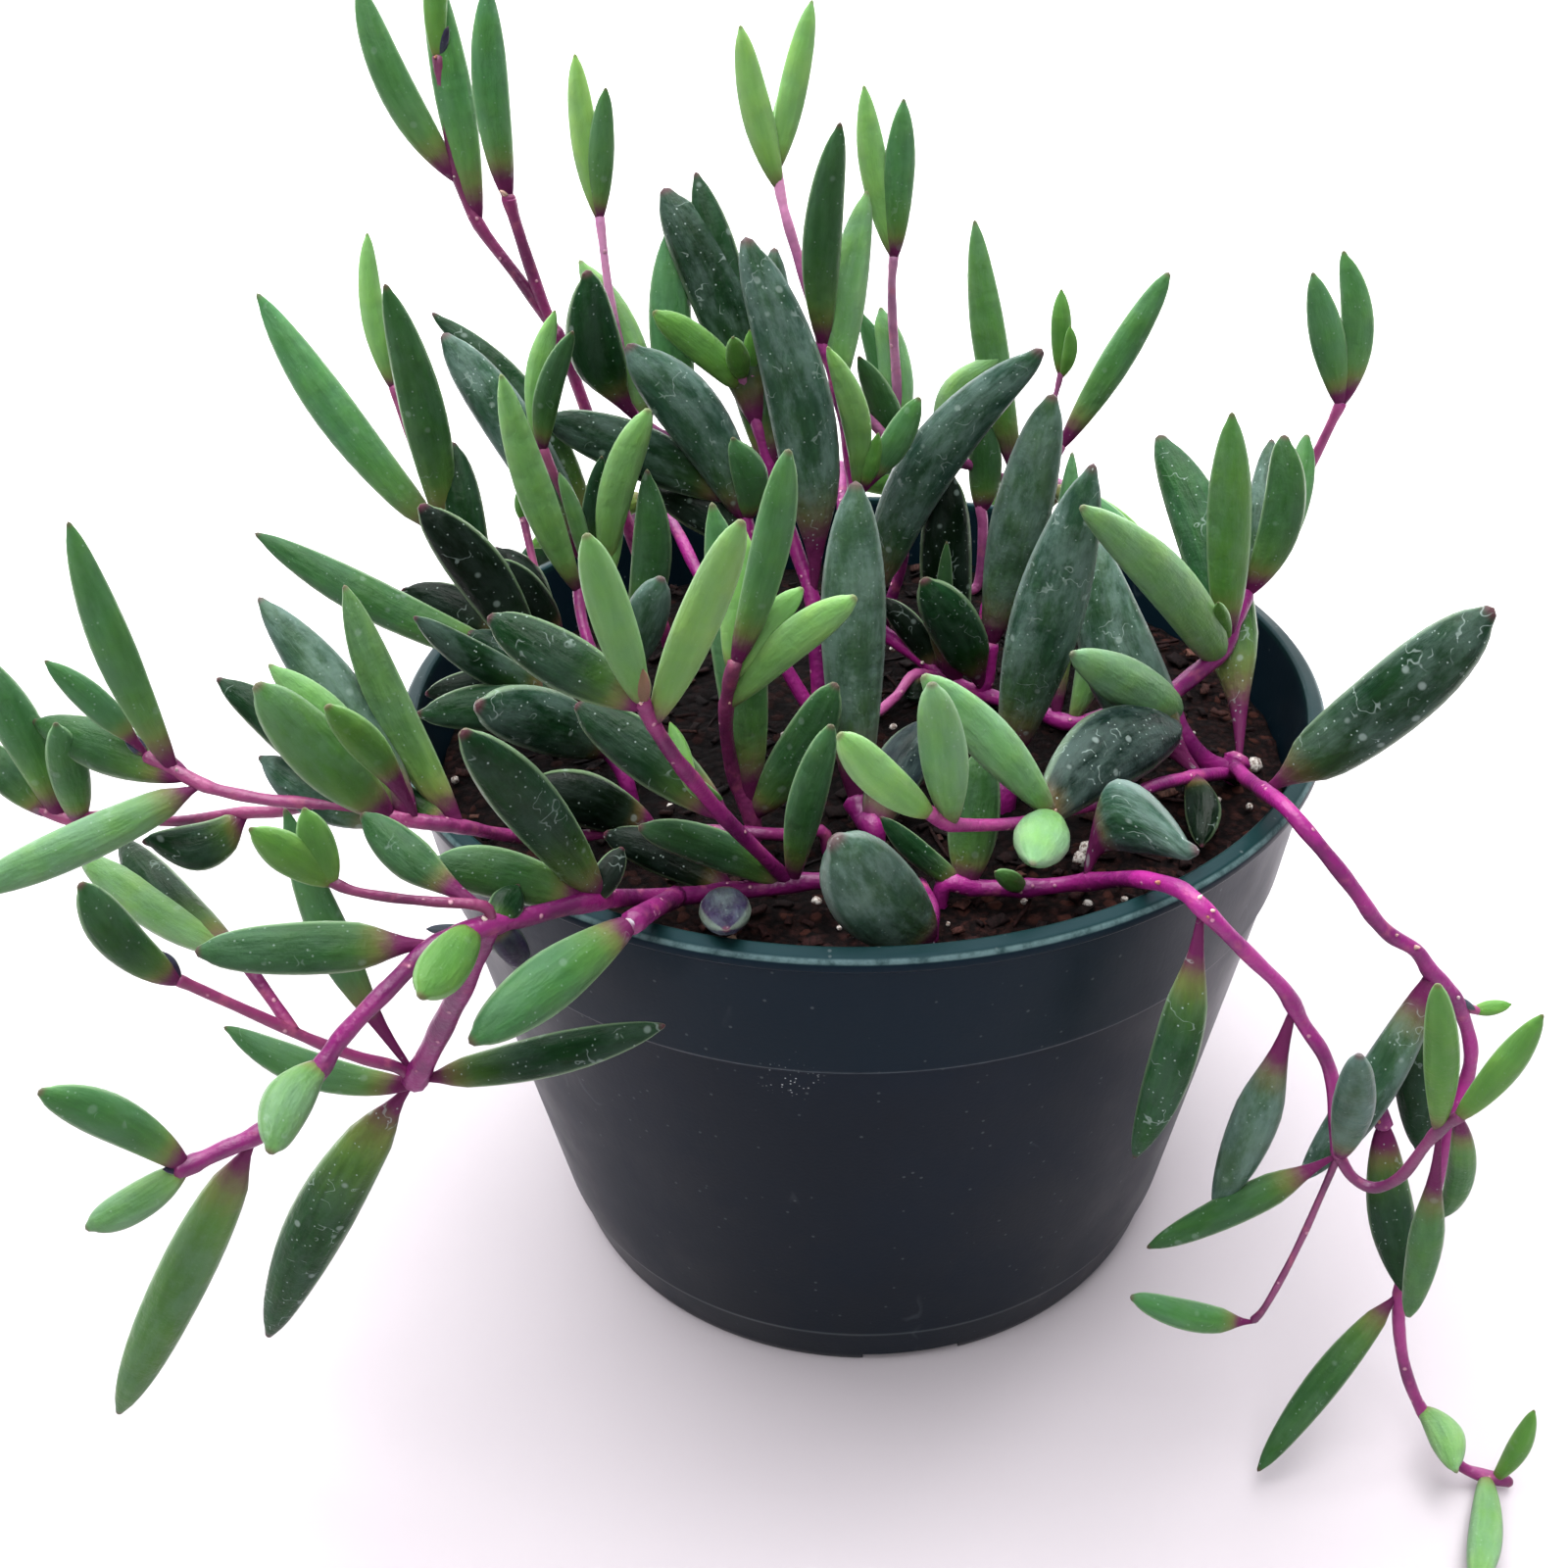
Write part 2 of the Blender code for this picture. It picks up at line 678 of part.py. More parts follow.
def wall_radius(height):
    """Inner radius of the pot's wall at this height."""
    if height > COLLAR_HEIGHT:
        share = (height - COLLAR_HEIGHT) / (RIM_HEIGHT - COLLAR_HEIGHT)
        return (COLLAR_RADIUS - WALL) * (1 - share) + LIP_INNER_RADIUS * share
    share = (height - FLOOR_TOP) / (COLLAR_HEIGHT - FLOOR_TOP)
    return (FOOT_RADIUS - STEP) * (1 - share) + (COLLAR_RADIUS - WALL - STEP) * share


def soil_height(x, y):
    waves = math.sin(x / (7 * MM) + 1) * math.cos(y / (8 * MM)) + math.sin((x + y) / (11 * MM))
    return SOIL_TOP + SOIL_RELIEF * waves / 2


def turned(name, profile, steps, collection, material):
    """A turned solid from its profile of (radius, height), which ends on the axis at both ends."""
    mesh = bpy.data.meshes.new(name)
    edges = [(i, i + 1) for i in range(len(profile) - 1)]
    mesh.from_pydata([(radius, 0, height) for radius, height in profile], edges, [])
    obj = add_object(name, mesh, collection, material)
    screw = obj.modifiers.new("Turn", "SCREW")
    screw.steps = steps
    screw.render_steps = steps
    screw.use_merge_vertices = True
    screw.merge_threshold = 0.00005
    return obj


def finish_mesh(obj):
    """Applies the modifiers of an object."""
    graph = bpy.context.evaluated_depsgraph_get()
    mesh = bpy.data.meshes.new_from_object(obj.evaluated_get(graph), depsgraph=graph)
    obj.modifiers.clear()
    obj.data = mesh


def shade_round(obj, angle):
    obj.data.shade_smooth()
    obj.data.set_sharp_from_angle(angle=math.radians(angle))


def cut(obj, cutters):
    boolean = obj.modifiers.new("Cut", "BOOLEAN")
    boolean.operation = "DIFFERENCE"
    boolean.operand_type = "COLLECTION"
    boolean.collection = cutters
    boolean.solver = "EXACT"


def pot(collection, cutters, material):
    profile = [
        (0, FLOOR_TOP),
        (FOOT_RADIUS - STEP, FLOOR_TOP),
        (COLLAR_RADIUS - WALL - STEP, COLLAR_HEIGHT - STEP),
        (COLLAR_RADIUS - WALL, COLLAR_HEIGHT),
        (LIP_INNER_RADIUS, RIM_HEIGHT - 0.2 * MM),
        (LIP_INNER_RADIUS + 0.3 * MM, RIM_HEIGHT),
        (RIM_RADIUS - 0.5 * MM, RIM_HEIGHT - 0.3 * MM),
        (RIM_RADIUS, RIM_HEIGHT - 0.8 * MM),
        (RIM_RADIUS, RIM_HEIGHT - LIP_DEPTH),
        (RIM_RADIUS - 0.9 * MM, RIM_HEIGHT - LIP_DEPTH - 0.3 * MM),
        (COLLAR_RADIUS, COLLAR_HEIGHT),
        (COLLAR_RADIUS - STEP, COLLAR_HEIGHT - STEP),
        (CREASE_RADIUS + 0.1 * MM, CREASE_HEIGHT + 0.3 * MM),
        (CREASE_RADIUS - 0.25 * MM, CREASE_HEIGHT - 0.4 * MM),
        (FOOT_RADIUS + 0.5 * MM, 1.2 * MM),
        (FOOT_RADIUS, 0),
        (FOOT_RADIUS - WALL, 0),
        (FOOT_RADIUS - WALL - 0.4 * MM, FLOOR_UNDER),
        (PAD_RADIUS + 1.2 * MM, FLOOR_UNDER),
        (PAD_RADIUS, 0),
        (0, 0),
    ]
    body = turned("pot", profile, POT_STEPS, collection, material)
    for i in range(NOTCHES):
        angle = math.tau * (i / NOTCHES) - math.pi / 2 + NOTCH_TURN
        bm = bmesh.new()
        bmesh.ops.create_cube(bm, size=1)
        bmesh.ops.scale(bm, vec=(NOTCH_REACH, NOTCH_WIDTH, 2 * NOTCH_HEIGHT), verts=bm.verts)
        add_cutter("notch_cutter", bm, cutters, FOOT_RADIUS, angle, 0)
    for i in range(DRAIN_HOLES):
        bm = bmesh.new()
        through = 4 * (FLOOR_TOP - FLOOR_UNDER)
        bmesh.ops.create_cone(
            bm, cap_ends=True, segments=12, radius1=DRAIN_RADIUS, radius2=DRAIN_RADIUS, depth=through
        )
        angle = math.tau * (i + 0.5) / DRAIN_HOLES
        add_cutter("drain_cutter", bm, cutters, DRAIN_CIRCLE, angle, (FLOOR_TOP + FLOOR_UNDER) / 2)
    cut(body, cutters)
    finish_mesh(body)
    shade_round(body, 35)
    return body


def add_cutter(name, bm, cutters, radius, angle, height):
    mesh = bpy.data.meshes.new(name)
    bm.to_mesh(mesh)
    bm.free()
    obj = add_object(name, mesh, cutters)
    obj.location = (radius * math.cos(angle), radius * math.sin(angle), height)
    obj.rotation_euler.z = angle
    obj.hide_render = True
    obj.display_type = "WIRE"


def soil(feet, collection, cutters, material):
    """The plug of soil, with a plain hole for the foot of each shoot. A foot is its point and its radius."""
    edge = wall_radius(SOIL_TOP - 2 * SOIL_EDGE_DROP) - GAP
    rings = [(edge * i / SOIL_RINGS, SOIL_TOP) for i in range(SOIL_RINGS + 1)]
    low = FLOOR_TOP + GAP
    side = [
        (wall_radius(COLLAR_HEIGHT) - GAP, COLLAR_HEIGHT + GAP),
        (wall_radius(COLLAR_HEIGHT - STEP) - GAP, COLLAR_HEIGHT - STEP),
        (wall_radius(low) - GAP, low),
        (0, low),
    ]
    body = turned("soil", rings + side, POT_STEPS, collection, material)
    finish_mesh(body)
    for vertex in body.data.vertices:
        if vertex.co.z > SOIL_TOP - 0.1 * MM:
            height = soil_height(vertex.co.x, vertex.co.y)
            reach = vertex.co.xy.length / edge
            vertex.co.z = height - SOIL_EDGE_DROP * reach**6
    for point, radius in feet:
        bm = bmesh.new()
        wide = radius + HOLE_PLAY
        bmesh.ops.create_cone(
            bm, cap_ends=True, segments=8, radius1=wide, radius2=wide, depth=2 * HOLE_DEPTH
        )
        angle = math.atan2(point.y, point.x)
        add_cutter("foot_cutter", bm, cutters, point.xy.length, angle, SOIL_TOP)
    cut(body, cutters)
    finish_mesh(body)
    shade_round(body, 35)
    return body


def lifted(point, radius):
    """The point, raised where something this thick would lie in the soil."""
    if point.xy.length > wall_radius(SOIL_TOP):
        return point
    floor = soil_height(point.x, point.y) + radius + SOIL_CLEARANCE
    return Vector((point.x, point.y, max(point.z, floor)))


def bends_only(points, radii):
    """The points of a stem without those that lie nearly on the line between their neighbours."""
    kept = [0]
    for i in range(1, len(points) - 1):
        start, end = points[kept[-1]], points[i + 1]
        run = end - start
        off = (points[i] - start).cross(run).length / run.length
        if off > STEM_PRECISION or run.length > LONGEST_STRAIGHT:
            kept.append(i)
    kept.append(len(points) - 1)
    return [points[i] for i in kept], [radii[i] for i in kept]


def tube(name, points, radii, collection, material):
    """A stem: a curve with a bevel, whose radius changes along it, made a closed mesh."""
    points, radii = bends_only(points, radii)
    curve = bpy.data.curves.new(name, "CURVE")
    curve.dimensions = "3D"
    curve.bevel_depth = 1 * MM
    curve.bevel_resolution = 1 if max(radii) > SLENDER_RADIUS else 0
    curve.use_fill_caps = True
    spline = curve.splines.new("POLY")
    spline.points.add(len(points) - 1)
    for knot, point, radius in zip(spline.points, points, radii):
        knot.co = (*point, 1)
        knot.radius = radius / MM
    guide = add_object(name + "_guide", curve, collection)
    bpy.context.view_layer.update()
    graph = bpy.context.evaluated_depsgraph_get()
    mesh = bpy.data.meshes.new_from_object(guide.evaluated_get(graph), depsgraph=graph)
    bm = bmesh.new()
    bm.from_mesh(mesh)
    bmesh.ops.remove_doubles(bm, verts=bm.verts, dist=0.00001)
    bmesh.ops.recalc_face_normals(bm, faces=bm.faces)
    bm.to_mesh(mesh)
    bm.free()
    obj = add_object(name, mesh, collection, material)
    obj.matrix_world = guide.matrix_world
    bpy.data.objects.remove(guide)
    return obj


def leaf_width(along):
    """Share of the full width at this share of the length: a spindle, fullest past its middle."""
    return math.sin(math.pi * min(along, 1) ** 1.1) ** 0.55 if 0 < along < 1 else 0


def leaf(name, root, tip, width, bow, collection, material):
    """A leaf: a ball of a few sides, drawn out along a bowed line and flattened."""
    sight = (EYE - root).normalized()
    course = (tip - root).normalized()
    right = course.cross(sight)
    reach = right.length * (tip - root).length
    right.normalize()
    through = right.cross(course)
    base = root - course * ROOT_SINK
    bm = bmesh.new()
    sides = LEAF_SIDES if width > NARROW_LEAF else LEAF_SIDES - 1
    bmesh.ops.create_uvsphere(bm, u_segments=sides, v_segments=LEAF_RINGS, radius=1)
    for vertex in bm.verts:
        along = (1 - vertex.co.z) / 2
        half = width / 2 * leaf_width(along)
        turn = math.atan2(vertex.co.y, vertex.co.x)
        line = base.lerp(tip, along) + right * (bow * reach * 4 * along * (1 - along))
        thin = half * LEAF_FLATNESS
        line = lifted(line, math.hypot(half * right.z, thin * through.z))
        vertex.co = line + right * (half * math.cos(turn)) + through * (thin * math.sin(turn))
    bm.normal_update()
    bmesh.ops.recalc_face_normals(bm, faces=bm.faces)
    mesh = bpy.data.meshes.new(name)
    bm.to_mesh(mesh)
    bm.free()
    return add_object(name, mesh, collection, material)


def nearest_on_route(route, across, down):
    """The point of a stem that lies nearest to this place in the picture."""
    wanted = Vector((across, down))
    best = None
    for start, end in zip(route, route[1:]):
        near_start = in_picture(start)
        run = in_picture(end) - near_start
        share = min(max((wanted - near_start).dot(run) / max(run.length_squared, 1e-9), 0), 1)
        miss = (near_start + run * share - wanted).length
        if best is None or miss < best[0]:
            best = (miss, start.lerp(end, share))
    return best[1]


def shoot_pieces(name, stems, collection, leaf_green, stem_purple):
    """The separate solids of one shoot, before they are fused: its foot, its stems and their leaves."""
    pieces = []
    for number, (places, first, last, leaves) in enumerate(stems):
        radii = [(first + (last - first) * i / (len(places) - 1)) * MM for i in range(len(places))]
        route = [lifted(in_depth(*place), radius) for place, radius in zip(places, radii)]
        if number == 0:
            pieces.append(foot(name, route, radii, collection, stem_purple))
        pieces.append(tube(f"{name}_stem", route, radii, collection, stem_purple))
        for across, down, tip_across, tip_down, deeper, width, bow in leaves:
            root = nearest_on_route(route, across, down)
            tip = in_depth(tip_across, tip_down, root.y / MM + deeper)
            pieces.append(leaf(f"{name}_leaf", root, tip, width * MM, bow, collection, leaf_green))
    return pieces


def back_route(angle, stand, drop):
    """The line of a stem from the soil at the back, up over the rim and down outside the wall."""
    outward = Vector((math.cos(angle), math.sin(angle), 0))
    over = RIM_HEIGHT + BACK_OVER_RIM
    points = []
    for i in range(BACK_STEM_POINTS):
        share = i / (BACK_STEM_POINTS - 1)
        reach = stand + (RIM_RADIUS + BACK_OFF_RIM - stand) * min(1, 1.35 * share) ** 0.8
        rise = math.sin(min(share / BACK_CREST, 1) * math.pi / 2)
        fall = max(share - BACK_CREST, 0) / (1 - BACK_CREST)
        height = SOIL_TOP + (over - SOIL_TOP) * rise - (drop + BACK_OVER_RIM) * fall**1.6
        points.append(outward * reach + Vector((0, 0, height)))
    return points


def back_shoot_pieces(name, shape, collection, leaf_green, stem_purple):
    """The solids of a hanging back shoot, whose leaves stand out in pairs and droop."""
    angle, stand, drop, pairs, rise = shape
    angle = math.radians(angle)
    outward = Vector((math.cos(angle), math.sin(angle), 0))
    along_wall = Vector((-math.sin(angle), math.cos(angle), 0))
    radii = [BACK_STEM_RADIUS * (1 - 0.3 * i / BACK_STEM_POINTS) for i in range(BACK_STEM_POINTS)]
    route = [lifted(point, radius) for point, radius in zip(back_route(angle, stand, drop), radii)]
    pieces = [foot(name, route, radii, collection, stem_purple)]
    pieces.append(tube(f"{name}_stem", route, radii, collection, stem_purple))
    for pair in range(pairs):
        place = (0.42 + 0.56 * pair / (pairs - 1)) * (BACK_STEM_POINTS - 1)
        low = min(int(place), BACK_STEM_POINTS - 2)
        root = route[low].lerp(route[low + 1], place - low)
        for side in (-1, 1):
            size = 1 - 0.08 * ((pair * 2 + side) % 3)
            course = along_wall * side * BACK_LEAF_SPREAD + outward * (BACK_LEAF_REACH + 0.1 * side)
            course.z = rise - BACK_LEAF_DROOP * pair
            tip = root + course.normalized() * BACK_LEAF_LENGTH * size
            width = BACK_LEAF_WIDTH * size
            bow = BACK_LEAF_BOW * side
            pieces.append(leaf(f"{name}_leaf", root, tip, width, bow, collection, leaf_green))
    return pieces


def foot(name, route, radii, collection, material):
    """The stretch of a stem that stands in the soil, straight down from its first point."""
    top = route[0]
    low = Vector((top.x, top.y, SOIL_TOP - FOOT_DEPTH))
    return tube(f"{name}_foot", [low, top], [radii[0], radii[0]], collection, material)


def keep_outer_skin(obj):
    """Fills the hollows that leaves seal between them: only the largest connected skin stays."""
    bm = bmesh.new()
    bm.from_mesh(obj.data)
    unseen = set(bm.verts)
    skins = []
    while unseen:
        start = unseen.pop()
        skin = {start}
        edge_of_search = [start]
        while edge_of_search:
            vertex = edge_of_search.pop()
            for edge in vertex.link_edges:
                other = edge.other_vert(vertex)
                if other in unseen:
                    unseen.discard(other)
                    skin.add(other)
                    edge_of_search.append(other)
        skins.append(skin)
    largest = max(skins, key=len)
    bmesh.ops.delete(bm, geom=[v for v in bm.verts if v not in largest], context="VERTS")
    bm.to_mesh(obj.data)
    bm.free()


def fuse(name, pieces, collection):
    """One closed body from pieces that cross: a union on a collection, applied, then the pieces removed."""
    body = pieces[0]
    body.name = name
    others = bpy.data.collections.new(name + "_repeats")
    bpy.context.scene.collection.children.link(others)
    for piece in pieces[1:]:
        collection.objects.unlink(piece)
        others.objects.link(piece)
    union = body.modifiers.new("Grow together", "BOOLEAN")
    union.operation = "UNION"
    union.operand_type = "COLLECTION"
    union.collection = others
    union.solver = "EXACT"
    union.material_mode = "TRANSFER"
    finish_mesh(body)
    for piece in pieces[1:]:
        bpy.data.objects.remove(piece)
    bpy.data.collections.remove(others)
    keep_outer_skin(body)
    body.data.name = name
    shade_round(body, 50)
    return body


def main():
    clear_scene()
    parts = new_collection("potted_ruby_necklace")
    pot_cutters = new_collection("pot_cutters")
    soil_cutters = new_collection("soil_cutters")
    plastic = new_material("pot_plastic", POT_COLOUR, 0.38)
    peat = new_material("soil_peat", SOIL_COLOUR, 0.95)
    leaf_green = new_material("leaf_green", LEAF_COLOUR, 0.45)
    stem_purple = new_material("stem_purple", STEM_COLOUR, 0.5)
    pot(parts, pot_cutters, plastic)
    feet = []
    for name, stems in SHOOTS.items():
        pieces = shoot_pieces(name, stems, parts, leaf_green, stem_purple)
        places, first = stems[0][0], stems[0][1]
        feet.append((in_depth(*places[0]), first * MM))
        fuse(name, pieces, parts)
    for name, shape in BACK_SHOOTS.items():
        fuse(name, back_shoot_pieces(name, shape, parts, leaf_green, stem_purple), parts)
        angle, stand = math.radians(shape[0]), shape[1]
        feet.append((Vector((stand * math.cos(angle), stand * math.sin(angle), 0)), BACK_STEM_RADIUS))
    soil(feet, parts, soil_cutters, peat)


if __name__ == "__main__":
    main()
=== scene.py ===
"""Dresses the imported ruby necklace: plump leaves, purple stems, nursery pot and soil, on a pale floor.

Metres, +Z up, in the frame of the solids. The viewer of the photograph is on the -Y side.
"""

import json
import math
import random

import bmesh
import bpy
from mathutils import Euler, Matrix, Vector, kdtree, noise

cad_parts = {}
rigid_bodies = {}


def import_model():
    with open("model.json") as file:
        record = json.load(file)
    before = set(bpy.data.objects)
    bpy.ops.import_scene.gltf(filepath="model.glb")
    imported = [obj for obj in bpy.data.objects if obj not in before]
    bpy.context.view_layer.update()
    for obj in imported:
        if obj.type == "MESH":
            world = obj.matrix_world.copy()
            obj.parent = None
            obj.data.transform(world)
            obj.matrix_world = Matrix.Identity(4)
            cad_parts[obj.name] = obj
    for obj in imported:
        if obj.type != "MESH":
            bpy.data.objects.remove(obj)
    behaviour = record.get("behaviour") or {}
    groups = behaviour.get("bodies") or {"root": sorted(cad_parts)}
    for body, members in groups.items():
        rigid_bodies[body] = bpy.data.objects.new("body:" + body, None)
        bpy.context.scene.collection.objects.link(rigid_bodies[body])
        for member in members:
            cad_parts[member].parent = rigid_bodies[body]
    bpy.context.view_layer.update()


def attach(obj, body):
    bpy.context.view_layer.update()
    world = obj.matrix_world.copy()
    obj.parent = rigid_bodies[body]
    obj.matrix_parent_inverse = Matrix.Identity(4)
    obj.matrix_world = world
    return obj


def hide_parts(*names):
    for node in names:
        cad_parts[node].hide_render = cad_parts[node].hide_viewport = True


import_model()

MM = 0.001
WELD = 0.01 * MM

# Pot, as in the solids
GAP = 0.3 * MM
RIM_RADIUS = 54.0 * MM
RIM_HEIGHT = 74.5 * MM
LIP_INNER_RADIUS = 51.9 * MM
LIP_DEPTH = 1.8 * MM
COLLAR_HEIGHT = 57.8 * MM
COLLAR_RADIUS = 51.2 * MM
STEP = 0.5 * MM
CREASE_HEIGHT = 6.75 * MM
CREASE_RADIUS = 41.85 * MM
FOOT_RADIUS = 39.85 * MM
WALL = 1.3 * MM
FLOOR_TOP = 3.6 * MM
FLOOR_UNDER = 2.1 * MM
PAD_RADIUS = 9.0 * MM
NOTCHES = 4
NOTCH_WIDTH = 12.0 * MM
NOTCH_HEIGHT = 1.4 * MM
NOTCH_REACH = 6.0 * MM
NOTCH_TURN = math.radians(8.5)
DRAIN_HOLES = 6
DRAIN_RADIUS = 3.6 * MM
DRAIN_CIRCLE = 27.0 * MM
DRAIN_SIDES = 40
POT_STEPS = 180
CORNER = 0.35 * MM
SHARP_EDGE = math.radians(38)

# Soil, and what lies on it. Pairs are the least and the most
SOIL_TOP = 66.0 * MM
SOIL_RELIEF = 0.6 * MM
SOIL_EDGE_DROP = 1.0 * MM
SOIL_RINGS = 56
SOIL_STEPS = 200
CRUMB = 0.55 * MM
LUMPS_PER_MM = 0.32
CRUMBS_PER_MM = 1.3
CRUMB_LEVELS = (-1.6, 0.9)
FOOT_DEPTH = 7.0 * MM
BARK_FLAKES = 420
WOOD_SPLINTERS = 160
FLAKE_LENGTH_MM = (0.7, 2.6)
FLAKE_WIDTH_SHARE = (0.4, 0.75)
SPLINTER_LENGTH_MM = (2, 6)
SPLINTER_WIDTH_MM = (0.2, 0.4)
FLAKE_THICKNESS_MM = (0.2, 0.45)
FLAKE_RAGGEDNESS = 0.22
FLAKE_BOW = 0.5
FLAKE_TILT = 0.35
PALE_GRAINS = 70
GRAIN_RADIUS_MM = (0.25, 0.6)
SEEN_GRAIN_RADIUS = 0.95 * MM
GRAIN_UNEVENNESS = 0.16

# Leaves and stems
LEAF_SIDES = 16
LEAF_RINGS = 22
LEAF_FLATNESS = 0.72
LEAF_UNEVENNESS = 0.025
LEAF_WAVES = 9
LEAF_GROOVE = 0.07
LEAF_POINT = 0.11
POINT_START = 0.985
STALK_WIDTH = 0.42
ROOT_SINK = 0.7 * MM
SOIL_CLEARANCE = 0.4 * MM
SPAN_STEPS = 5
KNOT_SWELLING = 0.2
KNOT_REACH = 1.1 * MM
STEM_UNEVENNESS = 0.05
STUB_LENGTH = 1.0 * MM
STUB_RADIUS = 0.32 * MM
STUB_TAPER = 0.35

# The picture that the shoots are read from: its middle and focal length in pixels, and where the eye stands
PICTURE_MIDDLE = 800
PICTURE_SIDE = 1600
FOCAL_LENGTH = 1700
EYE = Vector((0.0, -174.2 * MM, 171.7 * MM))
EYE_TURN = Euler((0, 0, math.radians(3.0))).to_matrix() @ Euler((math.radians(57.1), 0, 0)).to_matrix()
EYE_TURN = EYE_TURN @ Euler((0, 0, math.radians(-2.21))).to_matrix()

# Studio. A lamp is its place, its size and its power
FLOOR_REACH = 9.0
BACKDROP_START = 0.3
BACKDROP_BEND = 0.35
BACKDROP_BEND_STEPS = 12
BACKDROP_HEIGHT = 2.6
DAYLIGHT = (0.93, 0.96, 1.0, 1)
DAYLIGHT_STRENGTH = 0.28
LAMPS = {
    "window": ((-0.2, 0.2, 1.2), 1.4, 48.0),
    "far_window": ((0.45, 0.75, 0.9), 0.8, 11.0),
    "front_fill": ((0.0, -0.9, 1.2), 0.8, 9.0),
}
LIT_MIDDLE = Vector((0, 0, 0.06))

SHOOTS = {}


def grow(shoot, first, last, route, leaves=()):
    """Adds a stem to a shoot, whose first stem starts in the soil.

    It has a first and a last radius in mm, a route and leaves. A point of a route is pixels across, pixels
    down and depth in mm. A leaf is the pixels of its root and of its tip, how much deeper its tip lies than
    its root in mm, its width in mm, its bow to the right as a share of its length, and its tone.
    """
    SHOOTS.setdefault(shoot, []).append((route, first, last, leaves))


grow("front_runner", 0.98, 0.72, [
    (930, 903, -34.5), (900, 903, -35), (830, 899, -35.5), (760, 908, -37.5), (700, 914, -40.5),
    (640, 916, -45), (612, 918, -49), (585, 923, -52), (540, 935, -55), (500, 944, -58), (460, 957, -60),
    (430, 975, -62), (400, 1005, -64), (370, 1035, -66), (345, 1063, -67.5), (327, 1090, -69),
    (295, 1130, -71), (262, 1158, -73), (230, 1172, -74), (200, 1186, -75), (180, 1194, -76),
], [
    (738, 905, 741, 948, -14.5, 5, 0, "p"), (808, 890, 848, 742, -4, 3.7, -0.04, "M"),
    (800, 898, 655, 845, -4, 4.1, 0.05, "E"), (745, 908, 620, 852, 5, 4.5, 0.05, "K"),
    (610, 910, 474, 749, -8, 5.3, 0.03, "D"), (592, 920, 443, 881, -2, 4.8, 0.05, "E"),
    (605, 912, 634, 867, 3, 2.7, 0, "K"), (602, 920, 522, 903, 3, 3.1, 0, "K"),
    (482, 950, 431, 1015, -9, 4.5, 0, "G"), (447, 962, 205, 971, -3, 4.7, 0, "E"),
    (327, 1088, 277, 1173, -8, 4.2, 0.12, "C"), (262, 1160, 122, 1440, -3, 4.9, 0.009, "f"),
    (185, 1184, 43, 1115, -4, 3.7, 0.064, "M"), (188, 1196, 91, 1252, -4, 3.3, -0.045, "C"),
    (480, 950, 436, 948, 0, 1.1, 0, "p"), (505, 943, 536, 985, 2, 3, 0, "p"),
    (505, 942, 528, 905, 4, 3.1, 0, "d"), (186, 1192, 167, 1193, -1, 1, 0, "p"),
])
grow("front_runner", 0.77, 0.63, [
    (805, 900, -35.7), (775, 870, -38.5), (740, 835, -41.5), (710, 800, -44.5), (690, 775, -46.5),
    (670, 745, -48.5), (655, 716, -50),
], [
    (656, 720, 599, 548, -3, 3.7, -0.01, "L"), (668, 738, 756, 534, -4, 3.8, 0, "L"),
    (655, 716, 656, 684, -1, 1.5, 0, "q"), (735, 832, 592, 722, 6, 5.5, 0.02, "D"),
    (650, 722, 503, 632, 3, 5, -0.01, "D"), (706, 796, 684, 738, 5, 1.6, 0, "g"),
    (696, 785, 737, 818, 5, 1.8, 0.1, "g"),
])
grow("front_runner", 1.1, 1.02, [
    (690, 915, -41.1), (662, 930, -49.8), (644, 942, -53.5),
], [
    (645, 941, 484, 1061, -13, 5.3, 0.01, "M"),
])
grow("front_runner", 1.08, 1.2, [
    (500, 944, -58), (485, 975, -57), (470, 1010, -55), (455, 1040, -53), (440, 1070, -51),
    (423, 1102, -49.5),
], [
    (421, 1106, 275, 1361, -2, 6.6, 0.045, "t"), (425, 1103, 675, 1047, -3, 4.2, 0.02, "d"),
    (408, 1110, 232, 1049, 1, 3.7, -0.085, "m"), (405, 1086, 292, 828, 4, 3.8, -0.055, "m"),
])
grow("front_runner", 0.64, 0.51, [
    (423, 1102, -49.5), (405, 1089, -50.3), (370, 1080, -51.5), (330, 1066, -52.5), (300, 1053, -53),
    (240, 1026, -54.5), (200, 1008, -55.5), (182, 1000, -56),
], [
    (181, 999, 84, 904, -3, 4.1, -0.085, "E"), (181, 998, 166, 972, 0, 1.5, 0, "p"),
])
grow("front_runner", 0.62, 0.62, [
    (300, 1053, -53), (278, 1021, -51.5), (254, 988, -50), (242, 974, -49),
], [
    (241, 974, 124, 857, 16, 4.6, -0.05, "d"), (241, 974, 82, 872, 14, 4.3, -0.03, "c"),
])
grow("front_runner", 0.49, 0.42, [
    (500, 944, -58), (494, 925, -58), (440, 920, -59), (400, 916, -60), (360, 909, -61), (337, 899, -61),
], [
    (336, 898, 257, 847, -3, 3.4, 0, "g"), (338, 897, 311, 827, 0, 3.1, 0, "g"),
    (494, 924, 372, 833, 6, 4, -0.04, "E"),
])
grow("front_runner", 0.9, 0.82, [
    (938, 903, -34.5), (950, 928, -39.5), (948, 958, -43.5),
], [
    (946, 957, 855, 860, -5, 8.9, -0.08, "O"),
])
